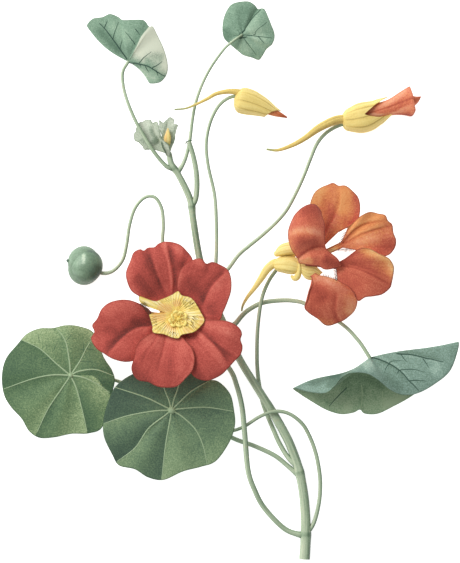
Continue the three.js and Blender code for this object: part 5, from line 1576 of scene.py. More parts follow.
def small_sepal(degrees):
    """One of the sepals that spread under the red petals."""
    angle = math.radians(degrees)
    share = np.linspace(0, 1, 5)
    distance = 2.5 + 6.1 * share
    line = Line(np.stack([
        RED_CENTRE[0] + distance * math.cos(angle), RED_CENTRE[1] + distance * math.sin(angle),
        17.4 + 0.8 * share**1.5,
    ], -1))

    def place(s, t):
        point = line.at(s)
        half = 2.0 * np.sqrt(np.maximum(0.02, 1 - s**2.4))
        side = (t - 0.5) * 2 * half
        point[..., 0] -= side * math.sin(angle)
        point[..., 1] += side * math.cos(angle)
        point[..., 2] += 0.12 * side**2
        return point

    def marks(s, t, points):
        return {"tone": 0.1 - 0.6 * np.clip(np.cos(6 * np.pi * t), 0, 1) ** 6, "across": t,
                "along": s, "green": 0.5 * s**2}

    return sheet(place, 16, 24, lambda s: 0.5 - 0.25 * s, marks)


print("calyx shapes ready")

# %% [markdown]
# ## The red flower's calyx
#
# Its cup is hidden under the petals and looks straight up, so only tips of the five sepals and
# the spur would show from the side. A short tube, a bent tapered tube and five small sheets in a
# ring are enough.

# %% The red flower's calyx
RED_CUP_LEVELS, RED_CUP_RADII = (0.0, 0.35, 0.78, 1.0), (1.6, 3.6, 4.6, 4.7)
red_cup = tube(
    [(*RED_CENTRE, 14.6), (*RED_CENTRE, 19.3)],
    lambda u, a: np.interp(u, RED_CUP_LEVELS, RED_CUP_RADII) * (1 + 0.03 * np.cos(5 * a)),
    60, 0.4, ("round", "cut"), (0, 0, 0),
)
SPUR_RADII = (2.2, 1.6, 1.1, 0.7, 0.4)
red_spur = tube(
    path("-24 -12.6 16.4, -27.6 -6.8 15.4, -31.4 -2.2 12.8, -35.4 1.6 10, -38.4 3.6 8.4"),
    ribbed(SPUR_RADII), 30, 0.7,
)
red_sepals = [small_sepal(72 * i - 1) for i in range(5)]
red_calyx = [lined(red_cup, 10), lined(red_spur, 6, green_from=0.7), *red_sepals]
show("red_calyx_tissue", red_calyx, CALYX_FINISHES, "red_calyx")

# %% [markdown]
# ## The orange flower's calyx
#
# Seen from its side this calyx shows a striped cup, the broad upper sepal behind it, the sepal
# whose tip curls back under the mouth, and the spur. The striped yellow claw of the lowest
# petal comes out of the mouth under the curled petal.

# %% Orange calyx
orange_cup = lined(tube(
    path("20.2 6.35 16.6, 22 6.3 17.1, 24.6 6 17.4, 28 5.1 18"),
    ribbed((3.1, 3.55, 3.4, 2.2), 5, 0.05), 70, 0.4,
    ("round", "cut"), (0, 0, 0),
), 10, 0.75)
orange_spur = lined(tube(
    path("""
        20.2 6.9 15.2, 17.5 6.8 15.6, 14.6 4.5 15.8, 12.2 0.8 15.4, 9.5 -3.1 14, 6.8 -6.6 12.6,
        5 -9.8 11.6, 4.5 -12 11.2"""),
    ribbed((1.9, 1.7, 1.35, 0.95, 0.65, 0.35)), 30, 0.7,
), 5, 0.5, green_from=0.8)
upper_sepal = lined(tube(
    path("18.5 10.7 15.4, 20.2 11.5 15.8, 22.6 12.1 16.2, 26 12.6 16.6"),
    ribbed((1.2, 2.7, 3.0, 2.9), 4, 0.04), 60, 0.4,
), 8, 0.7, 0.2)
# Painted shade on the lower side of the upper sepal.
upper_sepal.marks["tone"] += brushed(
    upper_sepal.points[:, :2], strokes_of("-0.8 0.9: 19.5 9.3, 22.5 9.9, 25.5 10.4"))
curled_sepal = lined(tube(
    path("27.4 6.8 20.4, 27.6 4.8 20.2, 27.2 2.7 19.4, 26.4 1.2 18.6, 25.4 0.9 18.2, 24.5 1.6 18"),
    ribbed((0.45, 0.65, 0.9, 1.3, 1.2, 0.6)), 30, 0.4,
), 5, 0.6)
CLAW_ROWS = paths("""
    28 6.7 20, 28.2 4.6 20.2, 28.4 2.8 19.6;
    31 6.7 20, 30.6 3.6 20.4, 30 0.8 19.4;
    33.8 5.9 19.8, 33.2 3.2 20, 32.3 0.2 18.8;
    36.8 3.2 19.4, 35.6 2.2 19.2, 34.4 0.8 18.8""")


def claw_marks(s, t, points):
    stripes = np.clip(np.cos(2 * np.pi * 5 * t), 0, 1) ** 4
    return {"tone": 0.35 - 0.7 * stripes, "across": t, "along": s, "warm": 0.5 * s}


striped_claw = sheet(net(CLAW_ROWS), 20, 60, lambda s: 0.4 + 0 * s, claw_marks)
show("orange_calyx_tissue", [orange_cup, orange_spur, upper_sepal, curled_sepal, striped_claw],
     CALYX_FINISHES, "orange_calyx")

# %% [markdown]
# ## Buds
#
# A bud is a ribbed cup of sepals that are still shut round rolled petals. On the left bud only
# the brown pink tip of the petals shows. On the right one two long sepals part in a V and the
# furled petals come out like a rolled umbrella with a flared mouth.

# %% The left bud
LEFT_BUD_ROUTE = path("""
    1.6 72.6 12.4, 6.5 71.6 12.5, 11.5 69.9 12.6, 16.6 67.6 12.6, 20 66.2 12.6""")
LEFT_SHARES = (0.0, 0.25, 0.38, 0.5, 0.62, 0.75, 1.0)
LEFT_REACH = (0.8, 0.98, 0.92, 0.82, 0.74, 0.7, 0.8)
left_bud = petalled_cup(
    LEFT_BUD_ROUTE, (4.2, 5.0, 4.9, 4.2, 3.4, 2.3, 1.4),
    lambda t: np.interp(t % 1.0, LEFT_SHARES, LEFT_REACH), 5, 0.05, tone=0.15,
)
left_spur = lined(tube(
    path("""
    5.2 73.8 13.2, 3.4 75.2 13.7, -0.6 75.6 14, -5.6 74.7 14.2, -9.2 72.7 14, -14.3 70.2 13.6,
    -18 68.8 13.4, -22.2 68.4 13.4"""),
    ribbed((1.5, 1.15, 0.85, 0.72, 0.55, 0.4, 0.3)), 24, 0.7,
), 4, 0.4, -0.25, green_from=0.6)
show("left_bud_sepals", [left_bud, left_spur], CALYX_FINISHES, "left_bud_calyx")

left_tip = tube(
    path("8.4 71 12.6, 13.2 69.1 12.6, 17 67.4 12.6, 19.8 66.3 12.6, 22.4 65.3 12.4"),
    ribbed((2.2, 2.4, 1.8, 1.2, 0.35), 3, 0.1), 36, 0.4,
)


def rolled(form, tone, warm, dark_from=0.7, dark=-1.0):
    """Adds the marks of petal tissue to a tube, darker towards its end, with painted light on the
    side towards the lamp and painted shade in three grooves round it.
    """
    angle = np.arctan2(form.marks["turn_y"], form.marks["turn_x"])
    form.marks["across"], form.marks["along"] = angle / (2 * np.pi), form.marks["share"]
    darkening = dark * np.clip((form.marks["share"] - dark_from) / (1 - dark_from), 0, 1)
    form.marks["tone"] = tone + 0.3 * form.marks["lit"] + darkening
    form.marks["tone"] -= 0.35 * np.clip(np.cos(3 * angle + np.pi), 0, 1) ** 3
    form.marks["warm"] = warm
    return form


show("left_bud_petal_tip", [rolled(left_tip, -0.1, 0.6)], [ORANGE_BACK] * 3,
     "left_bud_petals")

# %% The right bud
RIGHT_BUD_ROUTE = path("""
    44.6 64.4 5.6, 47.4 64.4 5.6, 50.6 64.8 5.6, 54.3 65.6 5.6, 58.1 67.1 5.8, 60.8 68.5 6.2,
    64.6 70.3 6.8""")
# How far each part of the rim reaches, by degrees from the side that faces up.
SEPAL_DEGREES = (-180, -145, -110, -76, -45, -11, 30, 62, 105, 145, 180)
SEPAL_REACH = (0.66, 0.88, 0.60, 1.0, 0.83, 0.45, 0.74, 0.97, 0.60, 0.88, 0.66)


def right_bud_reach(t):
    return np.interp((t * 360) % 360 - 180, SEPAL_DEGREES, SEPAL_REACH)


right_bud = petalled_cup(
    RIGHT_BUD_ROUTE, (3.5, 4.7, 5.8, 5.8, 5.0, 4.4, 3.8), right_bud_reach, 5, 0.035, 200, 44,
)
kept_above_floor(right_bud)
right_spur = lined(tube(
    path("""
    46.8 64.8 6.6, 43 64.4 7.2, 40 63.4 8, 35 60.8 8.6, 29.8 57 8.8, 24.8 54.2 8.6,
    19 52.2 8.2, 14.7 52.5 8"""),
    ribbed((1.8, 1.8, 1.6, 1.2, 0.95, 0.7, 0.4)), 30, 0.7,
), 5, 0.5, -0.35, green_from=0.85)
show("right_bud_sepals", [right_bud, right_spur], CALYX_FINISHES, "right_bud_calyx")

FURLED_ROUTE = path("""
    50 65.6 5.8, 56 67.2 6, 60.6 68.6 6.4, 64.6 69.9 6.8, 69.6 71.8 7.4, 73.9 73.3 7.8""")
# How far the flared mouth reaches, by shares of a turn from its lowest side.
MOUTH_SHARES = (0.0, 0.12, 0.25, 0.34, 0.46, 0.6, 0.72, 0.80, 0.9, 1.0)
MOUTH_REACH = (0.76, 0.88, 0.94, 0.99, 1.0, 0.96, 0.81, 0.75, 0.73, 0.76)
# Painted shade and highlights on the folds of the furled petals. The last, thin pale stroke is the
# petals' own pale base.
FURLED_STROKES = strokes_of("""
    -0.5 1.6 0.45 1.8: 60 66.4, 65.7 67.7, 69.5 69.6, 73 71.1;
    0.5 1.2: 58 68.8, 63.5 71.6, 68.5 74.6, 70.8 77;
    -0.3 0.6: 60 68.2, 66 71, 72 74.6;
    -0.4 0.9: 66 65.8, 70 66.2, 72 68;
    1.2 0.45: 55 66.6, 60 66.3, 64.2 65.9""")
furled = petalled_cup(
    FURLED_ROUTE, (2.0, 2.7, 2.8, 3.2, 4.9, 7.4),
    lambda t: np.interp(t % 1.0, MOUTH_SHARES, MOUTH_REACH), 3, 0.07, tone=0.25, lean=0.35,
)
inner = tube(path("66 70.6 7, 71 71.6 7.8, 74 72.3 8.2, 76.1 73.5 8.2"),
             ribbed((2.6, 2.9, 2.5, 0.3), 2, 0.12), 36, 0.4)
for form, warm in ((furled, 0.25), (rolled(inner, 0.1, 0.3, 0.8, -0.3), 0.3)):
    form.marks["tone"] = form.marks["tone"] + brushed(form.points[:, :2], FURLED_STROKES)
    form.marks["warm"] = warm
show("right_bud_furled_petals", [furled, inner], [ORANGE_BACK] * 3,
     "right_bud_petals")

# %% [markdown]
# ## Fruit
#
# After flowering, three round carpels swell round the foot of the style, each a wrinkled green
# ball. Spheres that are scaled and set into each other make it, with shallow ridges and a
# short beak where the style was.


# %% The fruit's finish and carpels
def fruit_finish():
    green = Finish("fruit_green", 0.42, 0.4)
    fine = green.noise(0.55, detail=3.0)
    tone = green.add(
        green.mark("tone"), green.swing(green.noise(2.6), 0.25), green.swing(fine, 0.45)
    )
    colour = green.ramp(tone, tones("""
    -1 60 84 68, -0.4 84 110 90, 0.1 116 142 116, 0.6 146 172 146, 1 190 208 182"""))
    return green.done(colour, fine, 0.1)


def ball(centre, radii, heading):
    """An ellipsoid whose poles lie along a heading in plan, with ridges from pole to pole."""
    rings, sides = 30, 48
    polar, around = np.meshgrid(
        np.linspace(0, np.pi, rings + 1)[1:-1], np.arange(sides) / sides * 2 * np.pi, indexing="ij"
    )
    swell = 1 + 0.012 * np.cos(6 * around) * np.sin(polar)
    across, upward = np.sin(polar) * np.cos(around), np.sin(polar) * np.sin(around)
    local = np.stack([np.cos(polar), across * swell, upward * swell], -1).reshape(-1, 3)
    local = np.vstack([local, [[1, 0, 0], [-1, 0, 0]]])
    cos, sin = math.cos(heading), math.sin(heading)
    turn = np.array([[cos, sin, 0], [-sin, cos, 0], [0, 0, 1]])
    points = np.array(centre) + (local * radii) @ turn
    index = np.arange((rings - 1) * sides).reshape(rings - 1, sides)
    after = np.roll(index, -1, 1)
    quads = np.stack([index[:-1], index[1:], after[1:], after[:-1]], -1).reshape(-1, 4)
    first, last = len(local) - 2, len(local) - 1
    caps = [np.stack([index[0], after[0], np.full(sides, first)], -1),
            np.stack([after[-1], index[-1], np.full(sides, last)], -1)]
    lit = unit((local / radii) @ turn) @ LIGHT_SIDE
    return Form(points, [(block, 0) for block in (quads, *caps)], {"lit": lit})


FRUIT_HEADING = math.radians(158)
# Each carpel: its centre and its radii along, across and upward.
CARPELS = [
    ((-58.9, 7.3, 5.8), (6.3, 6.5, 5.2)),
    ((-58.6, 4.8, 5.4), (6.5, 6.6, 5.2)),
    ((-57.5, 5.7, 7.6), (6.3, 6.7, 4.7)),
]
# Strokes on each carpel: painted light towards the lamp, painted shade along the groove between the
# carpels and on the far side, and, last, a thin painted highlight.
FRUIT_STROKES = [
    strokes_of("0.2 1.4: -64 5, -63.2 9.5, -59.5 12.8, -54.5 12"),
    strokes_of("0.1 1.4: -64.5 3, -61.5 -0.5, -57.5 -1.6"),
    strokes_of("""
        -0.75 0.7: -63.7 6.5, -62 10, -58 12.2, -54 11.2, -51.8 8.4;
        0.45 2: -62 4.5, -60.5 8.5, -57 10;
        -0.7 3.2: -51.5 7, -52.5 2.5, -56 0;
        0.35 1.4: -61.5 2, -60 4;
        1.3 0.42: -58.8 10.9, -58.7 8.8, -58.6 6.2"""),
]
carpels = []
for (centre, radii), strokes in zip(CARPELS, FRUIT_STROKES):
    carpel = ball(centre, radii, FRUIT_HEADING)
    # The lit mark paints each carpel lighter towards the lamp, as painted light.
    painted = brushed(carpel.points[:, :2], strokes)
    carpel.marks["tone"] = -0.15 + 0.35 * carpel.marks["lit"] + painted
    carpels.append(kept_above_floor(carpel))
beak = tube(path("-63.6 7.2 6.4, -64.6 7.6 6.8, -65.2 8 7"),
            lambda u, a: 0.9 - 0.3 * u, 16, 0.3)
beak.marks["tone"] = -0.6
show("fruit_carpels", [*carpels, beak], [fruit_finish()] * 3, "fruit")

# %% [markdown]
# ## The folded leaves
#
# The right leaf is shut like a purse: its upper half folds down over the lower half, so its
# grey green underside shows above and its green upper side below. The upper left leaf is
# folded in the same way, and the small upper right leaf lies on its face. All three are shields
# whose margins come back over or under themselves. The veins stand out on the underside.


# %% Places on a folded leaf
def ribs(width, kind, text):
    """Ribs of one width and kind along paths."""
    return [(line, width, kind) for line in paths(text)]


def folded_rib(place, t_range, plan, width, kind, side):
    """A rib along a line drawn in plan on one half of a folded leaf."""
    points = Line(plan).run(np.linspace(0, 1, 9))
    s, t = found_on(place, t_range, points)
    route = Line(np.stack([s, t], -1)).at(np.linspace(0, 1, 24))
    return rib(place, np.clip(route[:, 0], 0.01, 0.995), route[:, 1], width, kind, side)


def folded_leaf(name, node, centre, margin, arch, halves, finishes, columns, puff=0.0, bends=()):
    """A leaf whose parts each have their own strokes and ribs.

    halves: (first t, last t, base tone, strokes, pale strokes, ribs, side of the ribs).
    bends: (t of an edge, its width in t, waves, how far it bends in plan).
    """
    veins = np.linspace(0, 1, 9, endpoint=False) if puff else None
    flat = shield(centre, margin, arch, puff, veins)

    def place(s, t):
        points = flat(s, t)
        for where, width, waves, offset in bends:
            near = bump((t - where + 0.5) % 1.0, 0.5, width)
            points[..., :2] += (np.sin(np.pi * waves * s) * near)[..., None] * np.array(offset)
        return points

    rim = Line(margin, closed=True)

    def marks(s, t, points):
        tone, pale = np.zeros_like(s), np.zeros_like(s)
        for first, last, base, strokes, pale_strokes, _, _ in halves:
            part = (t >= first) & (t < last)
            plan = points[part][..., :2]
            tone[part] = base + brushed(plan, strokes)
            pale[part] = brushed(plan, pale_strokes)
        rim_gap = (1 - s) * np.linalg.norm(rim.at(t) - np.array(centre), axis=-1)
        return {"tone": np.clip(tone, -1.2, 1.2), "pale": pale, "rim": rim_gap}

    blade = sheet(place, LEAF_ROWS, columns, leaf_thickness, marks, True)
    ribs = [
        folded_rib(place, (first, last), line, width, kind, side)
        for first, last, _, _, _, lines, side in halves for line, width, kind in lines
    ]
    show(name, [blade, *ribs], finishes, node)


SMALL_STOPS = tones("""
    -1 80 110 90, -0.35 106 136 114, 0.15 136 166 142, 0.6 160 188 162, 1 188 208 184""")
SMALL_UNDERSIDE = leaf_finish("small_leaf_underside", SMALL_STOPS, 0.35, 0.7, ink(222, 228, 206))
GREEN_TOP = leaf_finish("leaf_right_upper_side", tones("""
    -1 62 82 68, -0.35 84 108 84, 0.15 110 138 106, 0.6 138 164 130, 1 162 182 148"""), 0.5, 0.9)
VEIN_TEAL = plain_finish("vein_teal", ink(68, 96, 82), 0.6)
MAIN, SIDE = (0.36, 0.32, 0.26, 0.16), (0.24, 0.20, 0.12)

# %% [markdown]
# ## The right leaf
#
# The purse comes to a point at both ends. Its margin runs along the lower half first and then
# back along the upper one, so one closed line draws both halves, and each half has its own
# strokes and ribs.

# %% Right leaf
RIGHT_MARGIN = path("""
    25.1 -43.2 6, 28.3 -45.8 3.8, 32.7 -48.6 2.4, 38.5 -51.9 1.8, 44.3 -53.6 1.5, 49.2 -53 1.6,
    51.9 -51.8 2, 53.9 -53.4 1.6, 59.1 -53.4 1.6, 65.3 -50.5 1.8, 72 -46.8 2.2, 79.5 -41.2 3.2,
    86.5 -33.8 4.8, 90.9 -24.8 8, 91.1 -27.8 9.6, 87.8 -36.2 11.6, 81.4 -41.6 12.4,
    74.8 -45.1 12.8, 69 -45.7 13.6, 64 -43.8 15.6, 58.6 -39.5 18.6, 54.2 -37.1 20.6,
    48.4 -36.9 20.8, 44.4 -38.9 18.4, 41.7 -42.1 14.8, 38 -45 11.6, 31.6 -44.7 8.2""")
RIGHT_TURN = 13 / 27
# Painted shade and light on the folds and bulges of the upper half.
RIGHT_UPPER_STROKES = strokes_of("""
    0.3 1.2 -0.35 1.4: 56.4 -30.7, 60 -31.8, 63.1 -33.2, 65.8 -34.7, 68.4 -36.7, 70.7 -39.4,
    75.1 -43.7;
    -0.5 1.8 0.3 1: 64 -29, 71.4 -29.5, 76.7 -30.6, 81.2 -31.6, 87 -33.2;
    0.55 2.4: 57 -33, 53 -35.6;
    0.4 3: 80 -37, 84.5 -34.5;
    -0.4 2.4: 60 -36.5, 65.5 -41.5, 69 -44;
    -0.8 1.4: 49 -35.8, 44 -37.2, 38 -38.6;
    -0.6 1.6: 44.5 -37.6, 42.5 -40.5, 39 -43.5;
    0.2 1.4: 28.5 -43.4, 33 -42.6;
    -0.55 1.5: 46 -37, 38 -39.4, 30 -42;
    -0.35 0.8: 41 -40, 38 -43;
    -0.3 1.6: 90.5 -26.5, 88 -31.5""")
RIGHT_UPPER_RIBS = [
    *ribs(MAIN, 2, """
    56.8 -31, 60 -31.8, 63.1 -33.2, 65.8 -34.7, 68.4 -36.7, 70.7 -39.4, 72.9 -41.7,
    75.1 -43.9; 66.7 -29.4, 72.9 -29.9, 77.4 -31, 81.8 -31.8, 85 -32.6"""),
    *ribs(SIDE, 2, """
    68.4 -29.9, 70.7 -33; 77.1 -31.4, 79.4 -35; 63.3 -33.2, 65.3 -32.3, 68.9 -32.1;
    63.3 -33.4, 62.2 -35, 61.5 -37.2; 68 -35.8, 72.9 -35.6, 77.8 -36.7; 67.3 -36.1,
    66.4 -37.6; 71.3 -40.1, 74.2 -39.9, 78.3 -40.3"""),
]
# Painted shade on the lower half: the first two strokes paint the shadow that the upper half casts
# along its edge.
RIGHT_LOWER_STROKES = strokes_of("""
    -0.6 2.6: 42 -43, 46 -39.5, 52 -38.5, 59 -41, 64 -45;
    -0.35 2.6: 44 -46, 50 -43, 56 -44;
    0.55 2.4: 60 -49.5, 66 -48.8, 72 -46.2;
    0.3 1.4: 29 -45.9, 34 -48.2;
    -0.3 0.5: 52 -46, 52 -50.5;
    -0.3 1.6: 40 -47.5, 38 -49.5;
    0.25 1.6: 44 -51.5, 49.5 -50.8""")
RIGHT_LOWER_RIBS = [
    *ribs(SIDE, 3, """
    52.6 -42, 52.8 -46, 52.4 -51; 61 -44.5, 61.2 -47.5, 61.4 -50.8"""),
    *ribs(SIDE, 2, "46.5 -43, 43 -46.5, 39.4 -50.4"),
]
folded_leaf(
    "right_leaf", "leaf_right", (56.1, -30.9, 9.6), RIGHT_MARGIN,
    lambda t: -3 * np.sin(2 * np.pi * t),
    [
        (0.0, RIGHT_TURN, 0.72, RIGHT_LOWER_STROKES, [], RIGHT_LOWER_RIBS, 1),
        (RIGHT_TURN, 1.0, 0.1, RIGHT_UPPER_STROKES, [], RIGHT_UPPER_RIBS, -1),
    ],
    [GREEN_TOP, UNDERSIDE, VEIN_TEAL, VEIN_PALE], 324,
    bends=[(0.0, 0.05, 2, (0.3, -1.0)), (0.0, 0.05, 1, (0.3, -1.0)),
           (RIGHT_TURN, 0.04, 2, (0.0, 0.35))],
)

# %% [markdown]
# ## The upper left leaf
#
# This leaf shows its underside, green on the left and dusted nearly white on the right, and a
# narrow band of its other face under the fold. The dusting is a mark of its own, because it ends
# sharply at a vein and doesn't follow the light and shade.

# %% Upper left leaf
UPPER_LEFT_MARGIN = path("""
    -57.4 101.7 12.2, -55.2 104.6 14, -51.2 105.3 15.2, -48.2 106.5 16.4, -45 105.4 16.2,
    -43 104.1 17, -38.4 104.2 17.6, -34.6 103.9 17.6, -32.6 101.5 17.6, -31 101.4 17.2,
    -29.2 98 16, -27 93.4 15.4, -25.5 88.6 14.6, -25.1 84.4 13.8, -26.2 81.3 12.6,
    -28.6 79.2 11.6, -32.4 79 10.8, -31.2 81.4 9.4, -29.6 86.5 8.8, -31.6 92.5 9.2, -35 97.8 9.6,
    -40.5 100.4 10, -47 101.4 10.4, -53 101.6 10.8""")
# The share of the margin at which the second half of the leaf begins.
LEFT_TURN = 16 / 24


def upper_left_arch(t):
    return np.where(t < LEFT_TURN, 2.2 * np.sin(1.5 * np.pi * t), -1.2) + 0.3 * bump(t, 0.34, 0.05)


# Strokes of painted shade along the folds. The light strokes lighten the green.
UPPER_LEFT_STROKES = strokes_of("""
    -0.4 2.2 0.1 0.4: -40.8 88.2, -37.7 93.5, -35.6 97.7, -32.6 101.5;
    0.7 2.6: -37.5 85.6, -33 82, -28 80.4;
    -0.4 1.2: -54 100.6, -48.5 95.4, -43 90;
    -0.35 1.6: -55 101.5, -50 99, -46.5 95, -42.5 90;
    0.35 2.4: -49 103.5, -43 99, -40 94;
    -0.25 1.2: -36 103.5, -34 101.5;
    -0.35 1.6: -33 89.6, -29 90.6, -26 89""")
UPPER_LEFT_PALE = strokes_of("""
    -2 30 1.1 30: -40.8 88.2, -37.8 93.5, -35.8 97.7, -32.7 101.8, -30.5 106;
    0 1 -0.55 12: -42 88, -37.2 87, -33.4 86.1, -31 84.8, -27 82;
    -0.45 3.2: -35 88, -31 88.6, -26 87.4""")
UPPER_LEFT_RIBS = [
    *ribs(MAIN, 2, """
    -41.4 88.8, -44.1 92.5, -46.9 96.4, -50.3 100.8, -52.3 102.8"""),
    *ribs(SIDE, 2, """
    -50.4 100.9, -49.2 103.8; -47.1 96.4, -45.7 100.7, -44.7 103.3; -38 94.4, -40 96.9,
    -42 99.4; -37.9 100.3, -36.2 98.2; -44.1 92.6, -43.2 96.5"""),
    *ribs(MAIN, 2, """
    -40.4 87.4, -37.2 86.8, -33.4 85.9, -31 84.6, -28.1 82.7, -25.9 81.6"""),
    *ribs(SIDE, 2, """
    -31.2 85.2, -29 86.3, -27.4 87.6; -36.3 87.2, -34.5 89.3, -31.7 91.4; -34 85.6,
    -32.6 83.4; -29.6 84, -29 82; -36.3 86.6, -35.8 85.4"""),
]
folded_leaf(
    "upper_left_leaf", "leaf_upper_left", (-40.8, 87.7, 12.6), UPPER_LEFT_MARGIN, upper_left_arch,
    [
        (0.0, LEFT_TURN, 0.1, UPPER_LEFT_STROKES, UPPER_LEFT_PALE, UPPER_LEFT_RIBS, -1),
        (LEFT_TURN, 1.0, -0.1, [], [], [], -1),
    ],
    [GREEN_TOP, SMALL_UNDERSIDE, VEIN_TEAL, VEIN_PALE], 288,
    bends=[(0.0, 0.05, 1, (-1.05, -1.2)), (LEFT_TURN, 0.05, 1, (0.75, 0.75))],
)

# %% [markdown]
# ## The upper right leaf
#
# The smallest open leaf lies on its face, creased along its main vein. It isn't folded, so it
# has a single part, and a slight puff between its ribs keeps it from looking flat.

# %% Upper right leaf
UPPER_RIGHT_MARGIN = path("""
    17.6 98.4 12.6, 16 103 13.2, 13.9 108 13.6, 12.6 108.8 13, 11 108.6 12.6, 9.6 110.2 13.2,
    7 111.6 13, 2.4 111.2 12.4, -0.4 109.6 12, -2.6 105.2 11.6, -3.2 100.4 11.4, -2.5 96.9 11.8,
    -0.6 94.9 12.2, 2.6 92.2 11.6, 5.2 90.2 11.2, 8.6 89.2 11.2, 11.3 88.3 10.6, 12.8 90 11.4,
    14.4 92.6 12, 16.8 94.8 12.6""")
# Painted shade and light on either side of the crease, painted shade on the left flap and painted
# light on the right part.
UPPER_RIGHT_STROKES = strokes_of("""
    -0.45 6 0.15 3: 4.2 98.2, 8.9 104.7, 12.4 109.2;
    -0.5 3.5: -2.4 102, -1.4 98.4, 0.8 95.5;
    -0.25 2.4: 8 109, 2 107;
    0.4 6: 8 96.5, 14 99.5;
    0.4 3: 3 94.5, 9 91""")
UPPER_RIGHT_RIBS = [
    *ribs(SIDE, 2, "5.2 98.1, 9.4 97.7, 16.6 97; 5 97.4, 7.3 94.5, 10.4 90.2"),
    *ribs(MAIN, 2, "4.6 99, 8.9 104.7, 12 108.2"),
    *ribs((0.14, 0.08), 2, "3.8 98.8, 1 103, -0.6 107"),
    *ribs(SIDE, 2, "8.4 98, 11 100.6, 14.4 103.2"),
    *ribs((0.14, 0.08), 2, "4.4 99.4, 4.4 105, 5 110; 3.4 97.8, 0 98.6, -2.4 100"),
    *ribs(SIDE, 2, "11 97.5, 13.4 95"),
]
folded_leaf(
    "upper_right_leaf", "leaf_upper_right", (4.6, 98.2, 13.6), UPPER_RIGHT_MARGIN,
    lambda t: 0.4 - 0.6 * bump(t, 0.2, 0.07),
    [(0.0, 1.0, 0.15, UPPER_RIGHT_STROKES, [], UPPER_RIGHT_RIBS, 1)],
    [SMALL_UNDERSIDE, GREEN_TOP, VEIN_TEAL, VEIN_PALE], 240, puff=0.4,
)

# %% [markdown]
# ## The growing tip
#
# At the end of the stem the youngest leaves are still small, toothed and grey with down. They
# stand round a tiny yellow bud and a cupped bract. They spread from their claws as petals do,
# so the same fan makes them, with its own finish.

# %% Young leaves and the tiny bud
DOWNY_GREY = leaf_finish("young_leaf_grey", tones("""
    -1 92 110 88, -0.4 138 154 132, 0.1 186 197 176, 0.6 214 222 202, 1 230 236 216"""), 0.3, 0.6)
# Each young leaf: its fan and its strokes. The strokes paint shade in the folds and light on the
# raised parts; the bract's dark strokes are its outline.
YOUNG_LEAVES = {
    "tip_leaf_left": (dict(
        claw=path("-26.3 51, -25.3 52.4"),
        rungs=[(0.25, (-31.4, 52.6), (-27.2, 56.2))],
        outline=path("""
        -33.2 52.4, -34.5 52.4, -36.2 54.6, -38.8 56.8, -37.9 60.6, -36.5 63.2, -32.4 64.6,
        -31.4 63.4, -28.9 63, -28 57.2"""),
        heights=[10.6, 10.8, 11.2, 11.0, 10.4], creases=[(0.75, 0.5, 0.12)], ruffle=0.25,
    ), strokes_of("""
    0.3 1 -0.7 1.6: -31.6 62.4, -30.6 59.4, -29.1 57, -28.3 54.6;
    -0.5 1.4: -31.5 56.5, -29.6 54.5;
    0.35 2: -36.5 62, -32 63;
    -0.35 1: -36.8 57, -33.5 55, -31 53;
    -0.2 0.6: -35.5 60, -32.5 57""")),
    "tip_leaf_right": (dict(
        claw=path("-25 52.6, -23.9 51.9"),
        outline=path("""
        -27.2 56, -28.2 60.2, -28.6 64.1, -26.9 63.3, -24.8 65.2, -22.9 65, -22.5 63,
        -21 62.2, -22.2 61, -22.1 57.6, -23.4 54.6"""),
        heights=[11.7, 12.4, 12.6, 12.5, 12.3], creases=[(0.5, -0.4, 0.2)], ruffle=0.2,
    ), strokes_of("""
    0.25 0.9 -0.6 0.9: -24.9 64.6, -25.9 60.8, -26.7 58.4, -27 55.2;
    -0.5 0.8: -23.6 60.5, -23 57, -24 54.4;
    0.3 0.9: -23.6 64.6, -23 61.5""")),
    "tip_bract": (dict(
        claw=path("-25.7 50, -24.4 49.8"),
        outline=path("-27.2 53, -28 56.3, -26.4 55.6, -25 54.6, -23.9 52.2"),
        heights=[12.3, 13.4, 14.4, 14.6, 14.4], ruffle=0,
    ), strokes_of("""
    -1 0.5: -28 56, -27.1 53, -25.9 50.4;
    -0.8 0.4: -26.4 55.8, -24.6 54.4, -23.8 52;
    0.3 0.8: -26 54.6, -24.8 52.4""")),
}
TEETH, TOOTH_DEPTH = 11, 0.35
for name, (shape, strokes) in YOUNG_LEAVES.items():
    plain, middle = fan(**shape), np.mean(shape["outline"], axis=0)

    def toothed(s, t):
        """The fan with a toothed margin."""
        points = plain(s, t)
        tooth = TOOTH_DEPTH * (2 * np.abs((TEETH * t) % 1.0 - 0.5)) ** 2 * s**8
        inward = unit(middle - points[..., :2])
        points[..., :2] += inward * tooth[..., None]
        return points

    young = petal_form(plain if name == "tip_bract" else toothed, strokes, base_tone=0.15)
    show(f"{name}_tissue", [young], [DOWNY_GREY, DOWNY_GREY], name)

tip_bud = lined(tube(
    path("-25 54.2 12.4, -25.2 56.4 13.4, -25.1 58.4 14, -25 60.8 14"),
    ribbed((0.8, 1.35, 1.3, 0.8, 0.2), 5, 0.05), 30, 0.3,
), 5, 0.4, 0.3)
tip_bud.marks["warm"] = 0.9 * (tip_bud.marks["turn_y"] > 0.3)
tip_bud.marks["green"] = 0.7 * np.clip(1 - 2 * tip_bud.marks["share"], 0, 1)
show("tip_bud_sepals", [tip_bud], CALYX_FINISHES, "tip_bud")

# %% [markdown]
# ## Floor, light and camera
#
# The sprig lies on a plain white surface. A large soft lamp from the upper left and an even
# white sky keep the shadows faint, so the tissue's own colours show. The camera looks straight
# down from far away, which keeps every organ in its true outline.

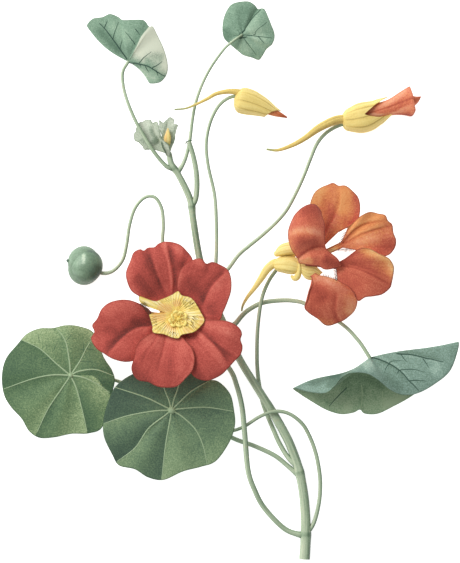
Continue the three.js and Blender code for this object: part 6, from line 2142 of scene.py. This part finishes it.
# %% Stage
CAMERA_HEIGHT = 4.0
VIEW_HEIGHT_MM = 225.2
VIEW_CENTRE = (-0.2, -0.4)
MIDDLE_DEPTH_MM = 12.0

floor_finish = Finish("floor_white", 0.9, 0.0)
for socket, value in (("Base Color", (0.86, 0.86, 0.85, 1.0)), ("Emission Strength", 0.75),
                      ("Emission Color", (1.0, 1.0, 1.0, 1.0))):
    floor_finish.shader.inputs[socket].default_value = value
floor_mesh = bpy.data.meshes.new("floor")
FLOOR_REACH, FLOOR_SINK = 1.6, 0.0003
corners = [(-1, -1), (1, -1), (1, 1), (-1, 1)]
floor_mesh.from_pydata([(x * FLOOR_REACH, y * FLOOR_REACH, -FLOOR_SINK) for x, y in corners],
                       [], [(0, 1, 2, 3)])
floor_mesh.materials.append(floor_finish.material)
floor = placed("floor", floor_mesh)

world = bpy.data.worlds.new("studio")
bpy.context.scene.world = world
world.use_nodes = True
sky = world.node_tree.nodes["Background"]
sky.inputs["Color"].default_value = (1.0, 1.0, 1.0, 1.0)
sky.inputs["Strength"].default_value = 0.5


LAMP_PLACE = (-0.8, 0.75, 1.0)
lamp = bpy.data.lights.new("key", "AREA")
lamp.size, lamp.energy = 0.9, 16.5
light = placed("key", lamp)
light.location = LAMP_PLACE
# A lamp shines down its own z axis, so it is tilted, then turned towards the origin.
away = math.hypot(LAMP_PLACE[0], LAMP_PLACE[1])
light.rotation_euler = (
    math.atan2(away, LAMP_PLACE[2]), 0.0,
    math.atan2(-LAMP_PLACE[1], -LAMP_PLACE[0]) - math.pi / 2,
)

camera_data = bpy.data.cameras.new("camera")
camera_data.sensor_fit = "VERTICAL"
camera_data.sensor_width = camera_data.sensor_height = 36.0
camera_data.lens = 36.0 * CAMERA_HEIGHT / (VIEW_HEIGHT_MM / 1000)
camera_data.clip_end = 20.0
camera = placed("camera", camera_data)
camera.location = (
    VIEW_CENTRE[0] / 1000, VIEW_CENTRE[1] / 1000, MIDDLE_DEPTH_MM / 1000 + CAMERA_HEIGHT
)
bpy.context.scene.camera = camera
bpy.context.scene.view_settings.view_transform = "Standard"
print("lens:", round(camera_data.lens, 1), "mm")
